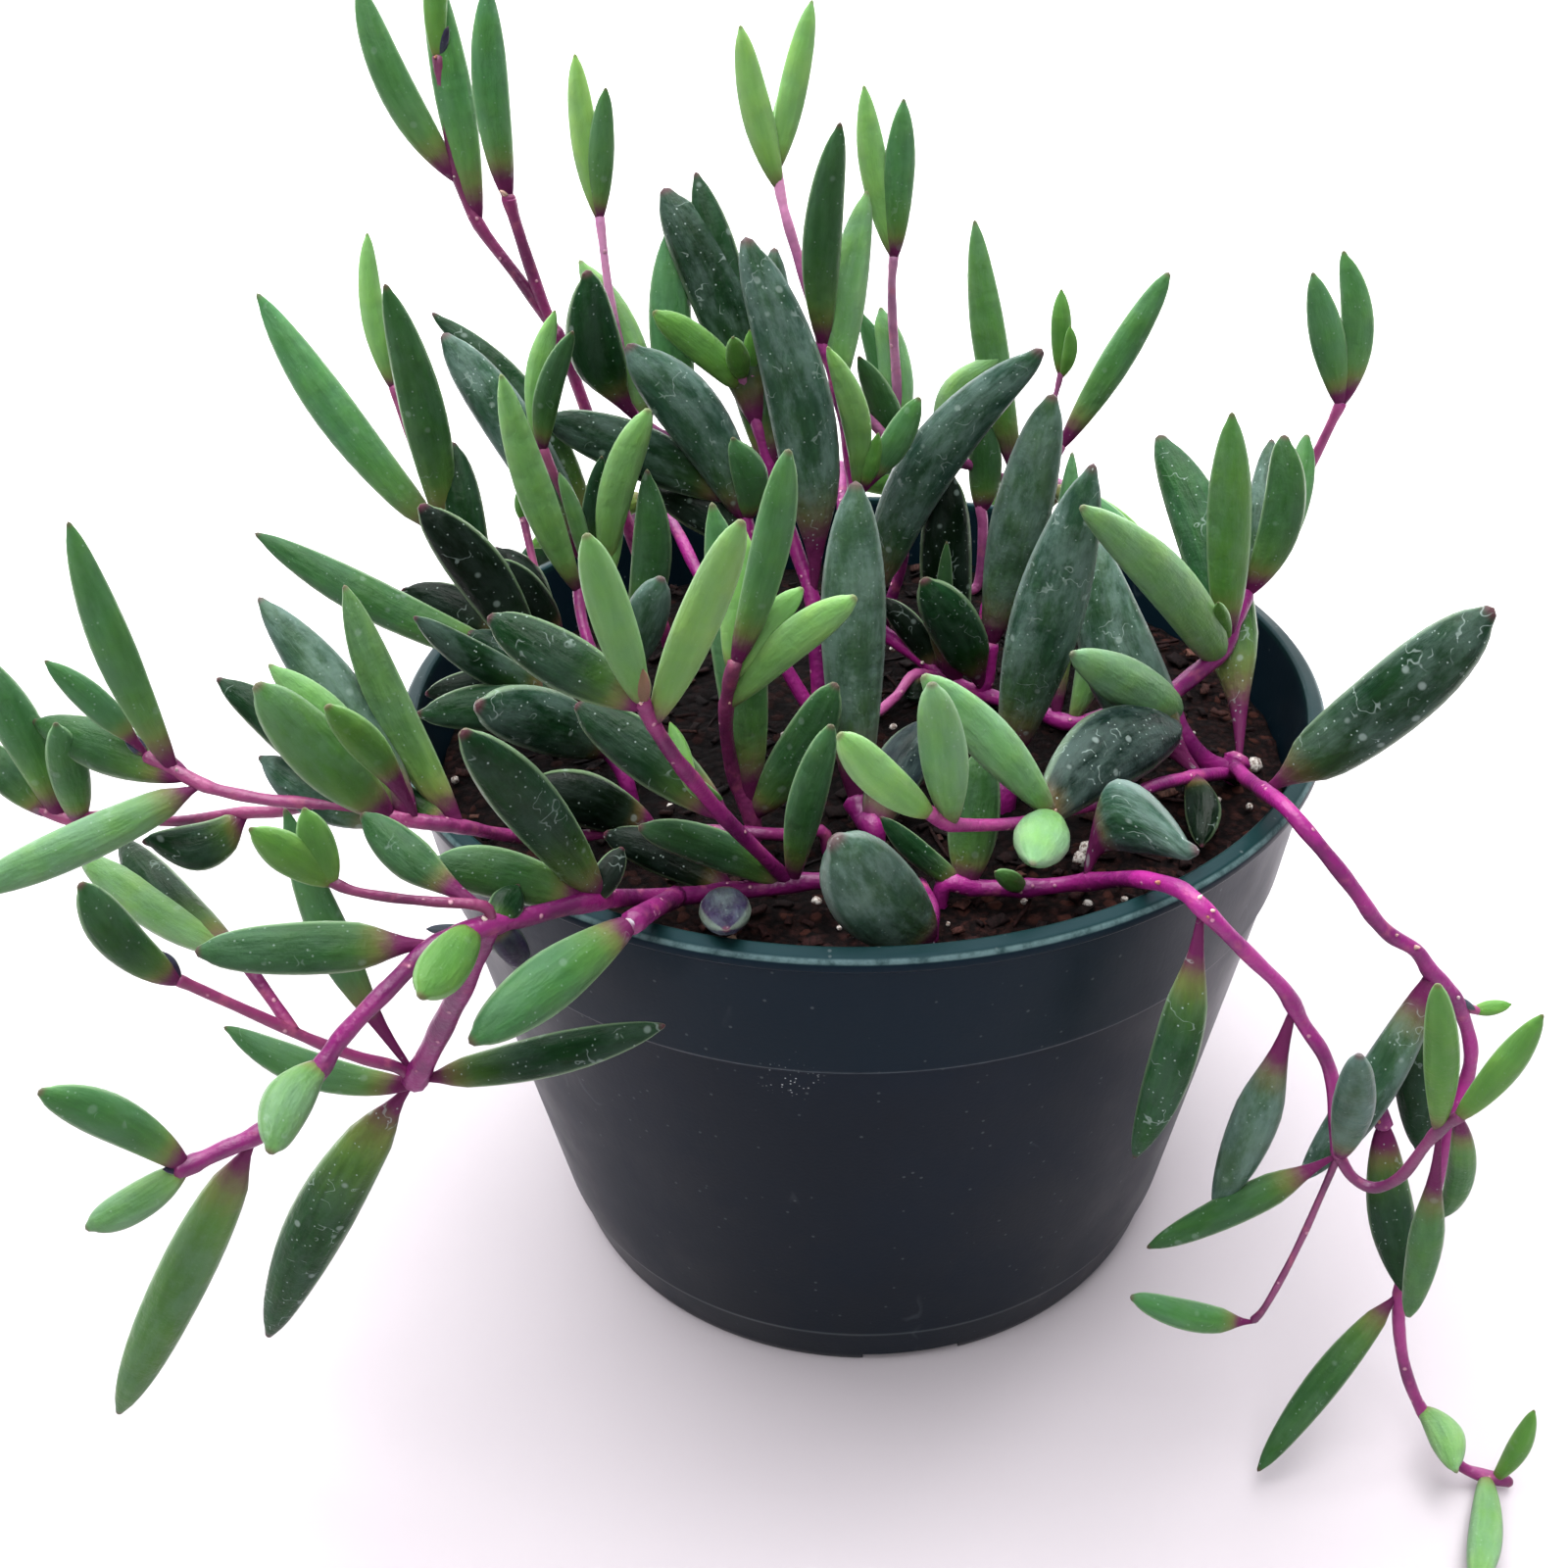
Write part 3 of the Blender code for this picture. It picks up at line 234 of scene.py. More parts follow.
grow("right_trailer", 0.95, 0.66, [
    (962, 905, -34), (1000, 906, -34), (1050, 906, -34.5), (1100, 901, -35.5), (1145, 897, -41),
    (1175, 899, -45), (1205, 908, -48.5), (1225, 925, -50.5), (1250, 950, -51), (1280, 980, -50.5),
    (1310, 1010, -50), (1330, 1045, -50), (1350, 1075, -50.5), (1360, 1105, -51), (1362, 1140, -52),
    (1366, 1178, -53),
], [
    (1215, 935, 1158, 1179, -1, 4.5, -0.045, "t"), (1318, 1027, 1240, 1232, -2, 4.6, -0.023, "o"),
    (1362, 1178, 1173, 1272, 0, 3.4, -0.01, "e"), (1380, 1196, 1387, 1078, -8, 3.8, 0.04, "O"),
    (1112, 897, 1216, 870, -4, 8, -0.52, "b"), (985, 905, 1003, 765, 7, 5.3, 0, "e"),
    (984, 900, 900, 835, 2, 2.7, -0.04, "d"), (1045, 903, 1016, 890, -3, 2.1, 0, "g"),
])
grow("right_trailer", 0.36, 0.36, [
    (1366, 1178, -53), (1350, 1215, -53.5), (1330, 1260, -54), (1310, 1300, -54.5), (1290, 1335, -55),
    (1279, 1347, -55),
], [
    (1279, 1348, 1156, 1324, -1, 3.2, -0.06, "M"),
])
grow("right_trailer", 0.59, 0.51, [
    (1366, 1178, -53), (1380, 1201, -54), (1403, 1212, -55), (1430, 1200, -56), (1455, 1168, -57),
    (1472, 1150, -58), (1490, 1139, -59),
], [
    (1465, 1154, 1467, 1006, -4, 3.1, 0.03, "G"), (1487, 1140, 1573, 1037, -3, 2.8, 0.027, "g"),
    (1470, 1156, 1437, 1342, 2, 3.3, -0.025, "M"), (1487, 1140, 1473, 1241, 5, 2.7, -0.1, "m"),
])
grow("right_clump", 0.85, 0.64, [
    (1258, 789, -11.5), (1272, 795, -20), (1288, 806, -29), (1310, 822, -35.5), (1335, 850, -38),
    (1360, 880, -39), (1385, 912, -39.5), (1402, 937, -39.5), (1420, 955, -39.5), (1445, 970, -39.5),
    (1460, 992, -39.5), (1474, 1005, -39.5), (1486, 1022, -39.5), (1497, 1050, -39.5), (1501, 1075, -40),
    (1497, 1100, -40), (1488, 1125, -41), (1478, 1160, -42), (1462, 1220, -43), (1442, 1280, -44.5),
    (1428, 1320, -46.5), (1429, 1370, -48.5), (1438, 1410, -50), (1452, 1441, -51.5), (1472, 1475, -54.4),
    (1487, 1493, -55.8), (1505, 1503, -56.4), (1540, 1512, -57.1),
], [
    (1290, 806, 1518, 626, -5, 7.2, 0.03, "A"), (1458, 998, 1328, 1203, -6, 4.7, -0.04, "b"),
    (1457, 998, 1448, 1173, -2, 5, 0.03, "d"), (1482, 1018, 1505, 1030, 0, 0.9, 0, "p"),
    (1425, 1318, 1285, 1499, -10.5, 3.5, 0.015, "e"), (1451, 1441, 1485, 1500, -7.2, 3.9, -0.14, "c"),
    (1525, 1508, 1565, 1440, 0, 2.3, 0.06, "g"), (1515, 1507, 1505, 1622, -15, 3.5, -0.05, "c"),
])
grow("right_clump", 0.43, 0.43, [
    (1486, 1022, -39), (1500, 1029, -39), (1508, 1031, -39),
], [
    (1507, 1030, 1541, 1025, 0, 1.6, 0, "g"),
])
grow("right_clump", 0.77, 0.85, [
    (1400, 1105, -41.5), (1412, 1148, -43),
], [
    (1412, 1148, 1437, 1321, -6, 4.8, 0.03, "d"),
])
grow("right_clump", 1.19, 0.95, [
    (1258, 789, -11.5), (1235, 780, -12), (1212, 757, -12), (1198, 732, -11), (1193, 712, -10),
    (1212, 694, -7), (1245, 665, -4), (1258, 635, -2), (1270, 607, 1),
], [
    (1236, 664, 1105, 519, -16, 5.5, 0.07, "cr"), (1252, 655, 1257, 425, 0, 4.9, 0, "f"),
    (1252, 652, 1243, 615, -7, 1.9, 0, "g"), (1271, 605, 1310, 448, 3, 4.8, 0.11, "E"),
    (1272, 600, 1333, 446, 10, 3.6, 0.08, "M"), (1268, 607, 1297, 452, 13, 5, 0.05, "b"),
    (1262, 625, 1247, 452, 8, 3.6, 0, "m"), (1196, 730, 1095, 668, -12, 5.6, 0.03, "wr"),
])
grow("right_clump", 1.35, 1.44, [
    (1258, 789, -11.5), (1263, 776, -11),
], [
    (1263, 776, 1184, 449, 30, 7, 0.07, "T"),
])
grow("right_clump", 0.54, 0.61, [
    (1270, 607, 1), (1300, 550, 9), (1325, 500, 12), (1345, 460, 12), (1368, 412, 11),
], [
    (1367, 412, 1340, 281, -1, 3.7, 0.006, "m"), (1370, 410, 1371, 259, 1, 3.6, 0.1, "m"),
])
grow("right_clump", 0.74, 0.62, [
    (1258, 789, -11.5), (1215, 793, -18), (1180, 801, -23), (1140, 815, -28), (1085, 828, -34),
    (1040, 840, -39), (970, 841, -44), (948, 829, -46),
], [
    (1072, 828, 944, 692, -3, 4.6, 0.03, "C"), (970, 840, 951, 700, -3, 4.4, 0.02, "C"),
    (950, 829, 858, 751, -6, 3.9, -0.05, "L"), (1074, 838, 1054, 880, -12, 5.4, 0, "w"),
    (1215, 793, 1226, 862, -9, 3.8, -0.1, "k"), (1068, 832, 1199, 742, 19, 8.4, -0.12, "V"),
    (1228, 793, 1119, 557, 14, 8.4, -0.105, "b"),
])
grow("crown_right", 0.9, 0.9, [
    (1150, 728, 2), (1095, 741, 0), (1055, 738, 3), (1000, 718, 7), (970, 695, 10), (930, 666, 12),
    (896, 642, 13), (884, 630, 13),
], [
    (1092, 740, 1117, 572, 9, 3.9, 0.08, "c"), (1076, 738, 1094, 464, 13, 3.6, 0, "m"),
    (1000, 718, 944, 594, -4, 6.4, 0.05, "D"), (955, 684, 902, 612, 2, 3.5, 0.05, "K"),
    (975, 698, 968, 487, 5, 6.5, -0.03, "K"), (958, 688, 966, 554, -3, 2.2, 0, "e"),
    (895, 634, 1060, 361, -5, 6.7, -0.125, "B"),
])
grow("crown_right", 0.94, 0.94, [
    (1000, 718, 7), (1008, 690, 7), (1010, 658, 8),
], [
    (1010, 658, 1073, 408, 0, 6.7, -0.005, "O"),
])
grow("crown_right", 0.62, 0.62, [
    (970, 695, 10), (980, 613, 13), (998, 596, 14), (1003, 540, 16), (1000, 512, 17), (1000, 478, 18),
], [
    (1002, 520, 1000, 425, 3, 4.2, 0.05, "e"),
])
grow("crown_right", 0.66, 0.56, [
    (975, 470, 17.5), (1000, 478, 18), (1020, 487, 18.5), (1048, 487, 18.5), (1072, 470, 19),
    (1083, 455, 19.5),
], [
    (975, 470, 1021, 363, 1, 3.9, -0.25, "c"), (1038, 480, 995, 228, 2, 4.1, -0.021, "f"),
    (1083, 457, 1191, 281, 2, 3.8, 0.008, "M"),
])
grow("crown_right", 0.35, 0.35, [
    (1072, 470, 19), (1073, 418, 20), (1078, 400, 20.5), (1083, 379, 21),
], [
    (1082, 380, 1083, 297, 1, 2.5, 0, "g"), (1083, 382, 1092, 334, -1, 1.8, 0.1, "g"),
])
grow("crown_right", 0.63, 0.63, [
    (970, 695, 10), (935, 688, 8), (915, 710, 5), (896, 727, 2),
], [
    (935, 688, 932, 728, -2, 3.1, 0, "k"),
])
grow("broad_leaf", 1.71, 1.71, [
    (1022, 812, -16), (1030, 775, -11.5),
], [
    (1030, 777, 1114, 480, -1, 7.6, -0.01, "b"),
])
grow("tall_leaf", 1.17, 1.35, [
    (892, 850, -23.5), (882, 836, -21.5), (874, 818, -19.5),
], [
    (874, 820, 873, 498, 7, 6.9, -0.01, "O"), (890, 846, 956, 735, 12, 6, -0.06, "s"),
])
grow("light_shoot", 0.9, 0.64, [
    (768, 838, -22.5), (750, 795, -22.5), (741, 745, -24.5), (743, 705, -27), (750, 676, -29),
], [
    (748, 722, 871, 611, -6, 4, -0.05, "L"), (748, 696, 817, 602, 0, 3.1, -0.05, "L"),
    (750, 680, 804, 462, -2, 3.8, 0.03, "M"), (748, 684, 760, 545, 2, 3.7, 0, "l"),
    (762, 826, 727, 518, 3.5, 5.6, 0.03, "m"), (762, 822, 757, 700, 6, 2.8, 0, "g"),
    (764, 832, 851, 701, 0, 5.4, 0.05, "E"),
])
grow("left_runner", 0.76, 0.56, [
    (842, 852, -24.5), (805, 852, -25.5), (770, 850, -26.5), (700, 847, -25.5), (640, 847, -25),
    (585, 854, -28), (540, 855, -32), (503, 850, -36), (480, 845, -39), (450, 841, -41.5),
    (420, 837, -42.5), (395, 833, -43), (360, 826, -43), (320, 820, -43), (280, 817, -43),
    (240, 810, -43), (210, 802, -43), (180, 787, -42.5), (150, 772, -42),
], [
    (665, 847, 545, 799, -3, 5.8, 0.03, "K"), (470, 842, 353, 601, 6, 4.1, -0.04, "y"),
    (397, 834, 265, 702, -4, 5.7, -0.02, "F"), (425, 838, 335, 722, -6, 3.7, 0.06, "G"),
    (420, 837, 267, 614, 9, 5.2, 0.033, "o"), (395, 833, 277, 681, 3, 4, 0.08, "l"),
    (380, 830, 225, 695, 6, 4.6, 0.04, "d"), (397, 834, 268, 774, 4, 4.6, -0.08, "b"),
    (452, 841, 385, 795, 3, 2.8, 0, "d"), (178, 786, 71, 536, 2, 3.7, -0.029, "m"),
    (150, 772, 48, 676, 0, 2.9, 0.03, "m"), (150, 772, 127, 747, 1, 1.5, 0, "p"),
    (206, 801, -40, 913, -10, 4.2, -0.01, "c"), (188, 791, 38, 737, 5, 5, 0, "e"),
])
grow("left_runner", 0.6, 0.52, [
    (320, 820, -43), (285, 828, -41.5), (240, 830, -40.5), (180, 838, -39.5), (100, 833, -38.5),
    (75, 837, -38), (50, 829, -38), (36, 822, -38),
], [
    (80, 836, 57, 740, -3, 3.8, 0.02, "m"), (60, 831, -42, 655, 0, 4.3, 0.05, "m"),
    (50, 828, -32, 752, 3, 3.8, 0, "e"), (248, 830, 150, 858, -3, 4.7, -0.22, "d"),
])
grow("crown_left", 0.91, 0.84, [
    (640, 800, -17), (600, 742, -12.5), (545, 685, -7), (490, 618, -2), (457, 553, 2),
], [
    (455, 553, 265, 303, 4, 4.9, -0.037, "m"), (457, 545, 394, 294, 0, 4.9, 0.03, "e"),
    (492, 620, 462, 455, 7, 4.5, 0, "D"), (545, 685, 432, 519, -2, 6, 0.06, "K"),
    (515, 650, 413, 604, 4, 4.6, 0.08, "K"), (540, 680, 264, 546, 4, 4.8, -0.03, "e"),
    (568, 708, 425, 631, -6, 3.9, -0.05, "a"), (545, 686, 437, 708, -3, 3.5, 0, "K"),
    (600, 742, 430, 729, -4, 5.7, 0.08, "d"), (618, 768, 490, 721, -12, 7.1, 0.06, "A"),
    (580, 718, 481, 647, 3, 4.4, 0.06, "A"),
])
grow("crown_left", 0.56, 0.52, [
    (457, 553, 2), (440, 505, 3), (420, 450, 4), (402, 395, 5),
], [
    (402, 396, 375, 240, 2, 2.7, -0.055, "l"),
])
grow("crown_left", 0.54, 0.45, [
    (640, 800, -17), (620, 720, -8), (566, 645, -2), (546, 580, 2), (534, 528, 5),
], [
    (566, 650, 509, 572, -4, 4.3, 0.03, "k"), (560, 630, 506, 562, 4, 4.4, 0.06, "K"),
    (534, 528, 530, 500, 0, 1.7, 0, "g"),
])
grow("crown_left", 0.78, 0.52, [
    (640, 800, -17), (626, 715, -6), (600, 655, -2), (591, 605, 2), (603, 560, 4), (577, 510, 4),
    (554, 458, 3),
], [
    (592, 604, 512, 385, -6, 4.1, -0.035, "l"), (600, 575, 455, 345, 6, 6, 0.03, "B"),
    (602, 562, 443, 322, 11, 4.3, 0.1, "d"), (596, 580, 571, 484, -2, 2.1, 0.04, "c"),
    (555, 460, 584, 340, -3, 3, -0.08, "e"), (552, 456, 566, 319, 1, 2.9, -0.08, "l"),
    (606, 566, 614, 467, -1, 2.5, -0.03, "d"),
])
grow("crown_left", 0.66, 0.6, [
    (626, 715, -6), (640, 665, -1), (628, 620, 1), (620, 575, 3),
], [
    (620, 577, 661, 420, -4, 4.1, -0.07, "L"), (622, 590, 627, 466, 2, 2.8, 0, "l"),
    (640, 668, 660, 483, 2, 4.6, 0.08, "e"), (640, 690, 674, 592, -4, 5.2, 0, "O"),
])
grow("crown_middle", 0.96, 0.64, [
    (838, 742, -1), (832, 660, 2), (829, 612, 4), (811, 557, 7), (787, 482, 10), (775, 440, 11),
    (764, 402, 12), (768, 381, 12),
], [
    (829, 610, 762, 249, 4, 7.3, 0.07, "B"), (762, 402, 669, 320, -2, 3.9, 0.04, "G"),
    (766, 384, 765, 338, 0, 1.8, 0, "g"), (787, 482, 790, 257, 7, 4.6, 0, "B"),
    (787, 480, 741, 298, 8, 4.3, 0, "d"), (765, 404, 711, 180, 7, 4.9, 0.01, "d"),
    (772, 436, 680, 198, 7, 6.9, 0.05, "A"),
])
grow("crown_middle", 0.63, 0.63, [
    (764, 402, 12), (757, 384, 11.5),
], [
    (757, 385, 748, 345, -5, 2.7, 0, "g"),
])
grow("crown_middle", 0.9, 0.49, [
    (838, 742, -1), (790, 660, 2), (764, 590, 5), (760, 527, 8), (727, 483, 10), (700, 456, 11),
    (657, 432, 12), (645, 390, 13), (631, 345, 13.5), (621, 295, 14), (612, 222, 15),
], [
    (763, 528, 748, 449, -4, 4.2, 0.15, "m"), (760, 530, 644, 357, -1, 7.1, 0.078, "B"),
    (748, 512, 560, 428, -2, 6.2, 0.03, "A"), (655, 431, 600, 281, -3, 6.1, -0.13, "D"),
    (660, 433, 593, 269, 5, 4.5, 0.07, "c"), (705, 460, 687, 229, 8, 5.1, -0.05, "m"),
    (612, 222, 587, 58, 0, 3.1, -0.02, "l"), (613, 222, 618, 92, -1, 2.9, -0.014, "m"),
    (762, 560, 672, 502, 4, 5.6, 0.1, "K"),
])
grow("crown_middle", 1.02, 0.51, [
    (838, 742, -1), (876, 640, 3), (877, 560, 6), (874, 507, 9), (868, 470, 10), (862, 430, 11),
    (851, 385, 12), (840, 350, 13), (826, 300, 14), (813, 258, 15), (803, 225, 15), (797, 200, 15.5),
    (792, 168, 16),
], [
    (792, 192, 756, 29, -1, 3.4, -0.03, "l"), (795, 172, 828, 3, 1, 3.1, -0.002, "l"),
    (793, 160, 798, 92, 2, 1.8, 0, "l"), (841, 357, 857, 129, -3, 4.3, -0.05, "e"),
    (856, 402, 884, 199, 5, 4.4, -0.029, "c"), (872, 500, 845, 356, -5, 3.3, 0.1, "l"),
    (876, 508, 896, 443, -2, 2.1, 0.06, "g"), (876, 508, 937, 408, -2, 3.5, 0.03, "M"),
])
grow("crown_middle", 0.63, 0.63, [
    (851, 385, 12), (878, 419, 15), (903, 446, 17), (917, 478, 19),
])
grow("crown_middle", 0.88, 0.48, [
    (838, 742, -1), (875, 690, 9), (893, 660, 17), (910, 610, 18), (922, 560, 18.5), (917, 478, 19),
    (917, 440, 19), (915, 390, 19), (911, 330, 19), (910, 290, 18.5), (912, 262, 18),
], [
    (907, 250, 882, 90, 0, 3.2, -0.03, "l"), (912, 262, 922, 104, -1, 3.5, 0.001, "m"),
    (917, 440, 899, 317, 3, 4.3, 0.04, "c"), (918, 480, 877, 366, -3, 3.8, 0.06, "e"),
    (917, 470, 879, 321, 3, 3.4, 0.05, "m"),
])
grow("top_left_shoots", 0.9, 0.61, [
    (680, 655, 24), (620, 480, 28), (575, 355, 30), (563, 332, 30.5), (530, 285, 31.5), (489, 230, 32.5),
    (468, 183, 33), (455, 120, 33.5), (447, 58, 34),
], [
    (466, 184, 366, -14, 2, 4.5, -0.07, "m"), (489, 228, 436, -46, 4, 4.5, 0, "m"),
    (447, 60, 448, -62, 1, 2.8, -0.03, "g"), (447, 60, 457, 28, 0, 1.2, 0, "p"),
])
grow("top_left_shoots", 0.81, 0.76, [
    (575, 355, 30), (560, 325, 30.5), (540, 270, 31), (521, 210, 31.5), (519, 200, 31.5),
], [
    (519, 204, 497, -14, 0, 4.3, -0.035, "m"),
])

# The slender purple stalk of a leaf, as a share of its length, by the place of its root in the picture
STALKS = {
    (447, 962): 0.2, (1318, 1027): 0.27, (1470, 1156): 0.3, (150, 772): 0.25, (206, 801): 0.1,
    (1263, 776): 0.2, (405, 1086): 0.3, (762, 402): 0.12, (1279, 1348): 0.16, (1290, 806): 0.14,
    (1215, 935): 0.22, (262, 1160): 0.1, (421, 1106): 0.12, (425, 1103): 0.12, (455, 553): 0.1,
    (829, 610): 0.18, (895, 634): 0.14, (1362, 1178): 0.2, (1425, 1318): 0.1, (1112, 897): 0.3,
    (425, 838): 0.4, (655, 431): 0.25, (1000, 718): 0.22, (876, 508): 0.3, (494, 924): 0.32,
    (248, 830): 0.12, (1228, 793): 0.2,
}

# Dried stubs of roots and bracts on the stems, by their places in the picture
STUBS = {
    "front_runner": ((660, 752), (650, 724), (440, 1090), (612, 917), (497, 941)),
    "light_shoot": ((738, 729), (754, 701), (745, 716)),
    "right_trailer": (
        (1163, 893), (1178, 895), (1188, 897), (1222, 917), (1230, 928), (1238, 936), (1364, 1172),
    ),
    "right_clump": (
        (1201, 738), (1214, 746), (1226, 756), (1240, 792), (1256, 774), (1075, 829), (1252, 668),
        (1423, 952), (1440, 966), (1412, 1147), (1486, 1020),
    ),
    "crown_right": ((951, 664), (943, 672)),
    "top_left_shoots": ((519, 200), (446, 57), (468, 180)),
    "left_runner": ((470, 842), (396, 833), (182, 788)),
}

# White grains that the picture shows best, by their places in it
SEEN_GRAINS = ((1110, 870), (1280, 780), (1103, 879))

# The shoots that hang behind the pot: the angle round it, how far from its middle they stand, how far
# below the rim they reach, their pairs of leaves and how much the first pair rises
BACK_SHOOTS = {
    "back_shoot_left": (122, 33 * MM, 26 * MM, 4, -0.3),
    "back_shoot_middle": (92, 39 * MM, 40 * MM, 5, -0.1),
    "back_shoot_right": (60, 36 * MM, 20 * MM, 4, -0.5),
}
BACK_OVER_RIM = 3.5 * MM
BACK_OFF_RIM = 11 * MM
BACK_CREST = 0.45
BACK_STEM_RADIUS = 0.9 * MM
BACK_STEM_TAPER = 0.3
BACK_STEM_POINTS = 9
BACK_LEAF_LENGTH = 21 * MM
BACK_LEAF_WIDTH = 5.2 * MM
BACK_LEAF_BOW = 0.06
BACK_LEAF_STALK = 0.08
BACK_LEAF_SPREAD = 0.72
BACK_LEAF_REACH = 0.3
BACK_LEAF_DROOP = 0.12
BACK_LEAF_TONES = "mgdmc"
FIRST_BACK_PAIR = 0.42
LAST_BACK_PAIR = 0.98


def paint(red, green, blue):
    """A colour as a screen shows it, from 0 to 255, as the linear colour that a shader takes."""
    shares = [value / 255 for value in (red, green, blue)]
    return tuple(v / 12.92 if v < 0.04045 else ((v + 0.055) / 1.055) ** 2.4 for v in shares) + (1.0,)


# What each tone of leaf looks like: its colour, its pale bloom, its old white marks and how fresh a green
# its lower half is
LEAF_TONES = {
    "w": (paint(118, 158, 110), 0.4, 0.05, 0.1),
    "l": (paint(128, 174, 106), 0.2, 0.05, 0.3),
    "c": (paint(114, 156, 104), 0.4, 0.2, 0.35),
    "g": (paint(94, 140, 70), 0.08, 0.1, 0.4),
    "o": (paint(66, 94, 80), 0.75, 0.25, 0.15),
    "f": (paint(84, 128, 72), 0.3, 0.05, 0.35),
    "t": (paint(36, 78, 44), 0.2, 0.65, 0.85),
    "y": (paint(94, 130, 82), 0.15, 0.3, 0.8),
    "q": (paint(150, 112, 98), 0.1, 0.0, 0.0),
    "v": (paint(14, 32, 30), 0.35, 0.6, 0.0),
    "m": (paint(78, 124, 78), 0.18, 0.2, 0.5),
    "e": (paint(54, 90, 54), 0.14, 0.25, 0.45),
    "b": (paint(50, 78, 64), 0.8, 0.6, 0.25),
    "a": (paint(24, 52, 34), 0.4, 0.65, 0.15),
    "d": (paint(24, 56, 32), 0.14, 0.45, 0.4),
    "k": (paint(7, 22, 11), 0.08, 0.5, 0.05),
    "s": (paint(28, 38, 44), 0.3, 0.3, 0.0),
    "p": (paint(52, 42, 74), 0.4, 0.15, 0.0),
}
# How far up a leaf its purple root reaches, as a share of its length, and the tones that have less of it
PURPLE_ROOT = 0.13
PALE_PURPLE_ROOT = 0.05
PALE_TONES = "wlcg"
ROOTLESS_TONE = "v"
# The leaves of these shoots are painted darker than their tones say: painted shade
SHADED_SHOOTS = {"front_runner": 0.74, "left_runner": 0.76, "right_trailer": 0.88}
# How far the fullest part of a leaf lies towards its point, and how round it is. A capital tone is blunt,
# and a tone with an r after it has its fullest part near its root, with no purple there
POINTED_LEAF = (1.1, 0.52)
BLUNT_LEAF = (1.28, 0.43)
FULL_FOOTED_LEAF = (0.72, 0.45)
FULL_FOOT_PURPLE = -0.3

STEM_MAGENTA = paint(150, 30, 120)
STEM_ROSE = paint(158, 74, 120)
# Some shoots have a magenta of their own, and the thin stems of some a rose of their own
SHOOT_MAGENTAS = {
    "light_shoot": paint(136, 50, 104), "top_left_shoots": paint(126, 34, 92),
    "front_runner": paint(134, 28, 106), "left_runner": paint(138, 40, 106),
}
SHOOT_ROSES = {
    "crown_middle": paint(212, 144, 186), "left_runner": paint(166, 76, 122),
    "right_trailer": paint(140, 64, 112), "light_shoot": paint(146, 76, 106),
    "top_left_shoots": paint(126, 64, 96), "crown_right": paint(180, 100, 146),
    "front_runner": paint(136, 52, 98),
}
THICK_STEM = 0.78 * MM
THIN_STEM = 0.5 * MM
STUB_TONES = (paint(214, 176, 160), paint(176, 120, 96), paint(226, 206, 196))
FLAKE_TONES = (
    paint(74, 44, 40), paint(48, 26, 26), paint(118, 82, 72), paint(30, 16, 17), paint(156, 130, 114),
)
FLAKE_TONE_SHARES = (4, 6, 1, 8, 0.5)


def in_depth(across, down, depth):
    """The point at this place in the picture and this depth in mm."""
    sight = EYE_TURN @ Vector((across - PICTURE_MIDDLE, PICTURE_MIDDLE - down, -FOCAL_LENGTH))
    return EYE + sight * ((depth * MM - EYE.y) / sight.y)


def in_picture(point):
    seen = EYE_TURN.transposed() @ (point - EYE)
    scale = FOCAL_LENGTH / -seen.z
    return Vector((PICTURE_MIDDLE + scale * seen.x, PICTURE_MIDDLE - scale * seen.y))


def wall_radius(height):
    """Inner radius of the pot's wall at this height."""
    if height > COLLAR_HEIGHT:
        share = (height - COLLAR_HEIGHT) / (RIM_HEIGHT - COLLAR_HEIGHT)
        return (COLLAR_RADIUS - WALL) * (1 - share) + LIP_INNER_RADIUS * share
    share = (height - FLOOR_TOP) / (COLLAR_HEIGHT - FLOOR_TOP)
    return (FOOT_RADIUS - STEP) * (1 - share) + (COLLAR_RADIUS - WALL - STEP) * share


def soil_height(x, y):
    """Height of the solid's soil."""
    waves = math.sin(x / (7 * MM) + 1) * math.cos(y / (8 * MM)) + math.sin((x + y) / (11 * MM))
    return SOIL_TOP + SOIL_RELIEF * waves / 2


def lifted(point, radius):
    """The point, raised where something this thick would lie in the soil."""
    if point.xy.length > wall_radius(SOIL_TOP):
        return point
    floor = soil_height(point.x, point.y) + radius + SOIL_CLEARANCE
    return Vector((point.x, point.y, max(point.z, floor)))


def buried(point):
    """The foot of a shoot, in its hole in the soil below this point."""
    return Vector((point.x, point.y, SOIL_TOP - FOOT_DEPTH))


def eased(value, low, high):
    share = min(max((value - low) / (high - low), 0), 1)
    return share * share * (3 - 2 * share)


def add_object(name, bm, material):
    """An object with this mesh and material."""
    mesh = bpy.data.meshes.new(name)
    bm.to_mesh(mesh)
    bm.free()
    mesh.shade_smooth()
    mesh.materials.append(material)
    made = bpy.data.objects.new(name, mesh)
    bpy.context.scene.collection.objects.link(made)
    return made


def add_piece(name, bm, slot, material, *nodes):
    """The finished piece: its normals face out, it rides on the pot and it stands for these nodes."""
    bm.normal_update()
    bmesh.ops.recalc_face_normals(bm, faces=bm.faces)
    piece = add_object(name, bm, material)
    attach(piece, "root")
    if nodes:
        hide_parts(*nodes)
    return piece


def chained(bm, points):
    """The vertices at these points and the edges between them."""
    chain = [bm.verts.new(point) for point in points]
    return chain, [bm.edges.new(pair) for pair in zip(chain, chain[1:])]


def vertices_of(geometry):
    return [item for item in geometry if isinstance(item, bmesh.types.BMVert)]


# Shaders. Patterns are in mm, and masks go from 0 to 1

def feed(tree, node, name, value):
    """Gives a socket of a node a number, a colour or another node's socket."""
    if isinstance(value, bpy.types.NodeSocket):
        tree.links.new(value, node.inputs[name])
    else:
        node.inputs[name].default_value = value


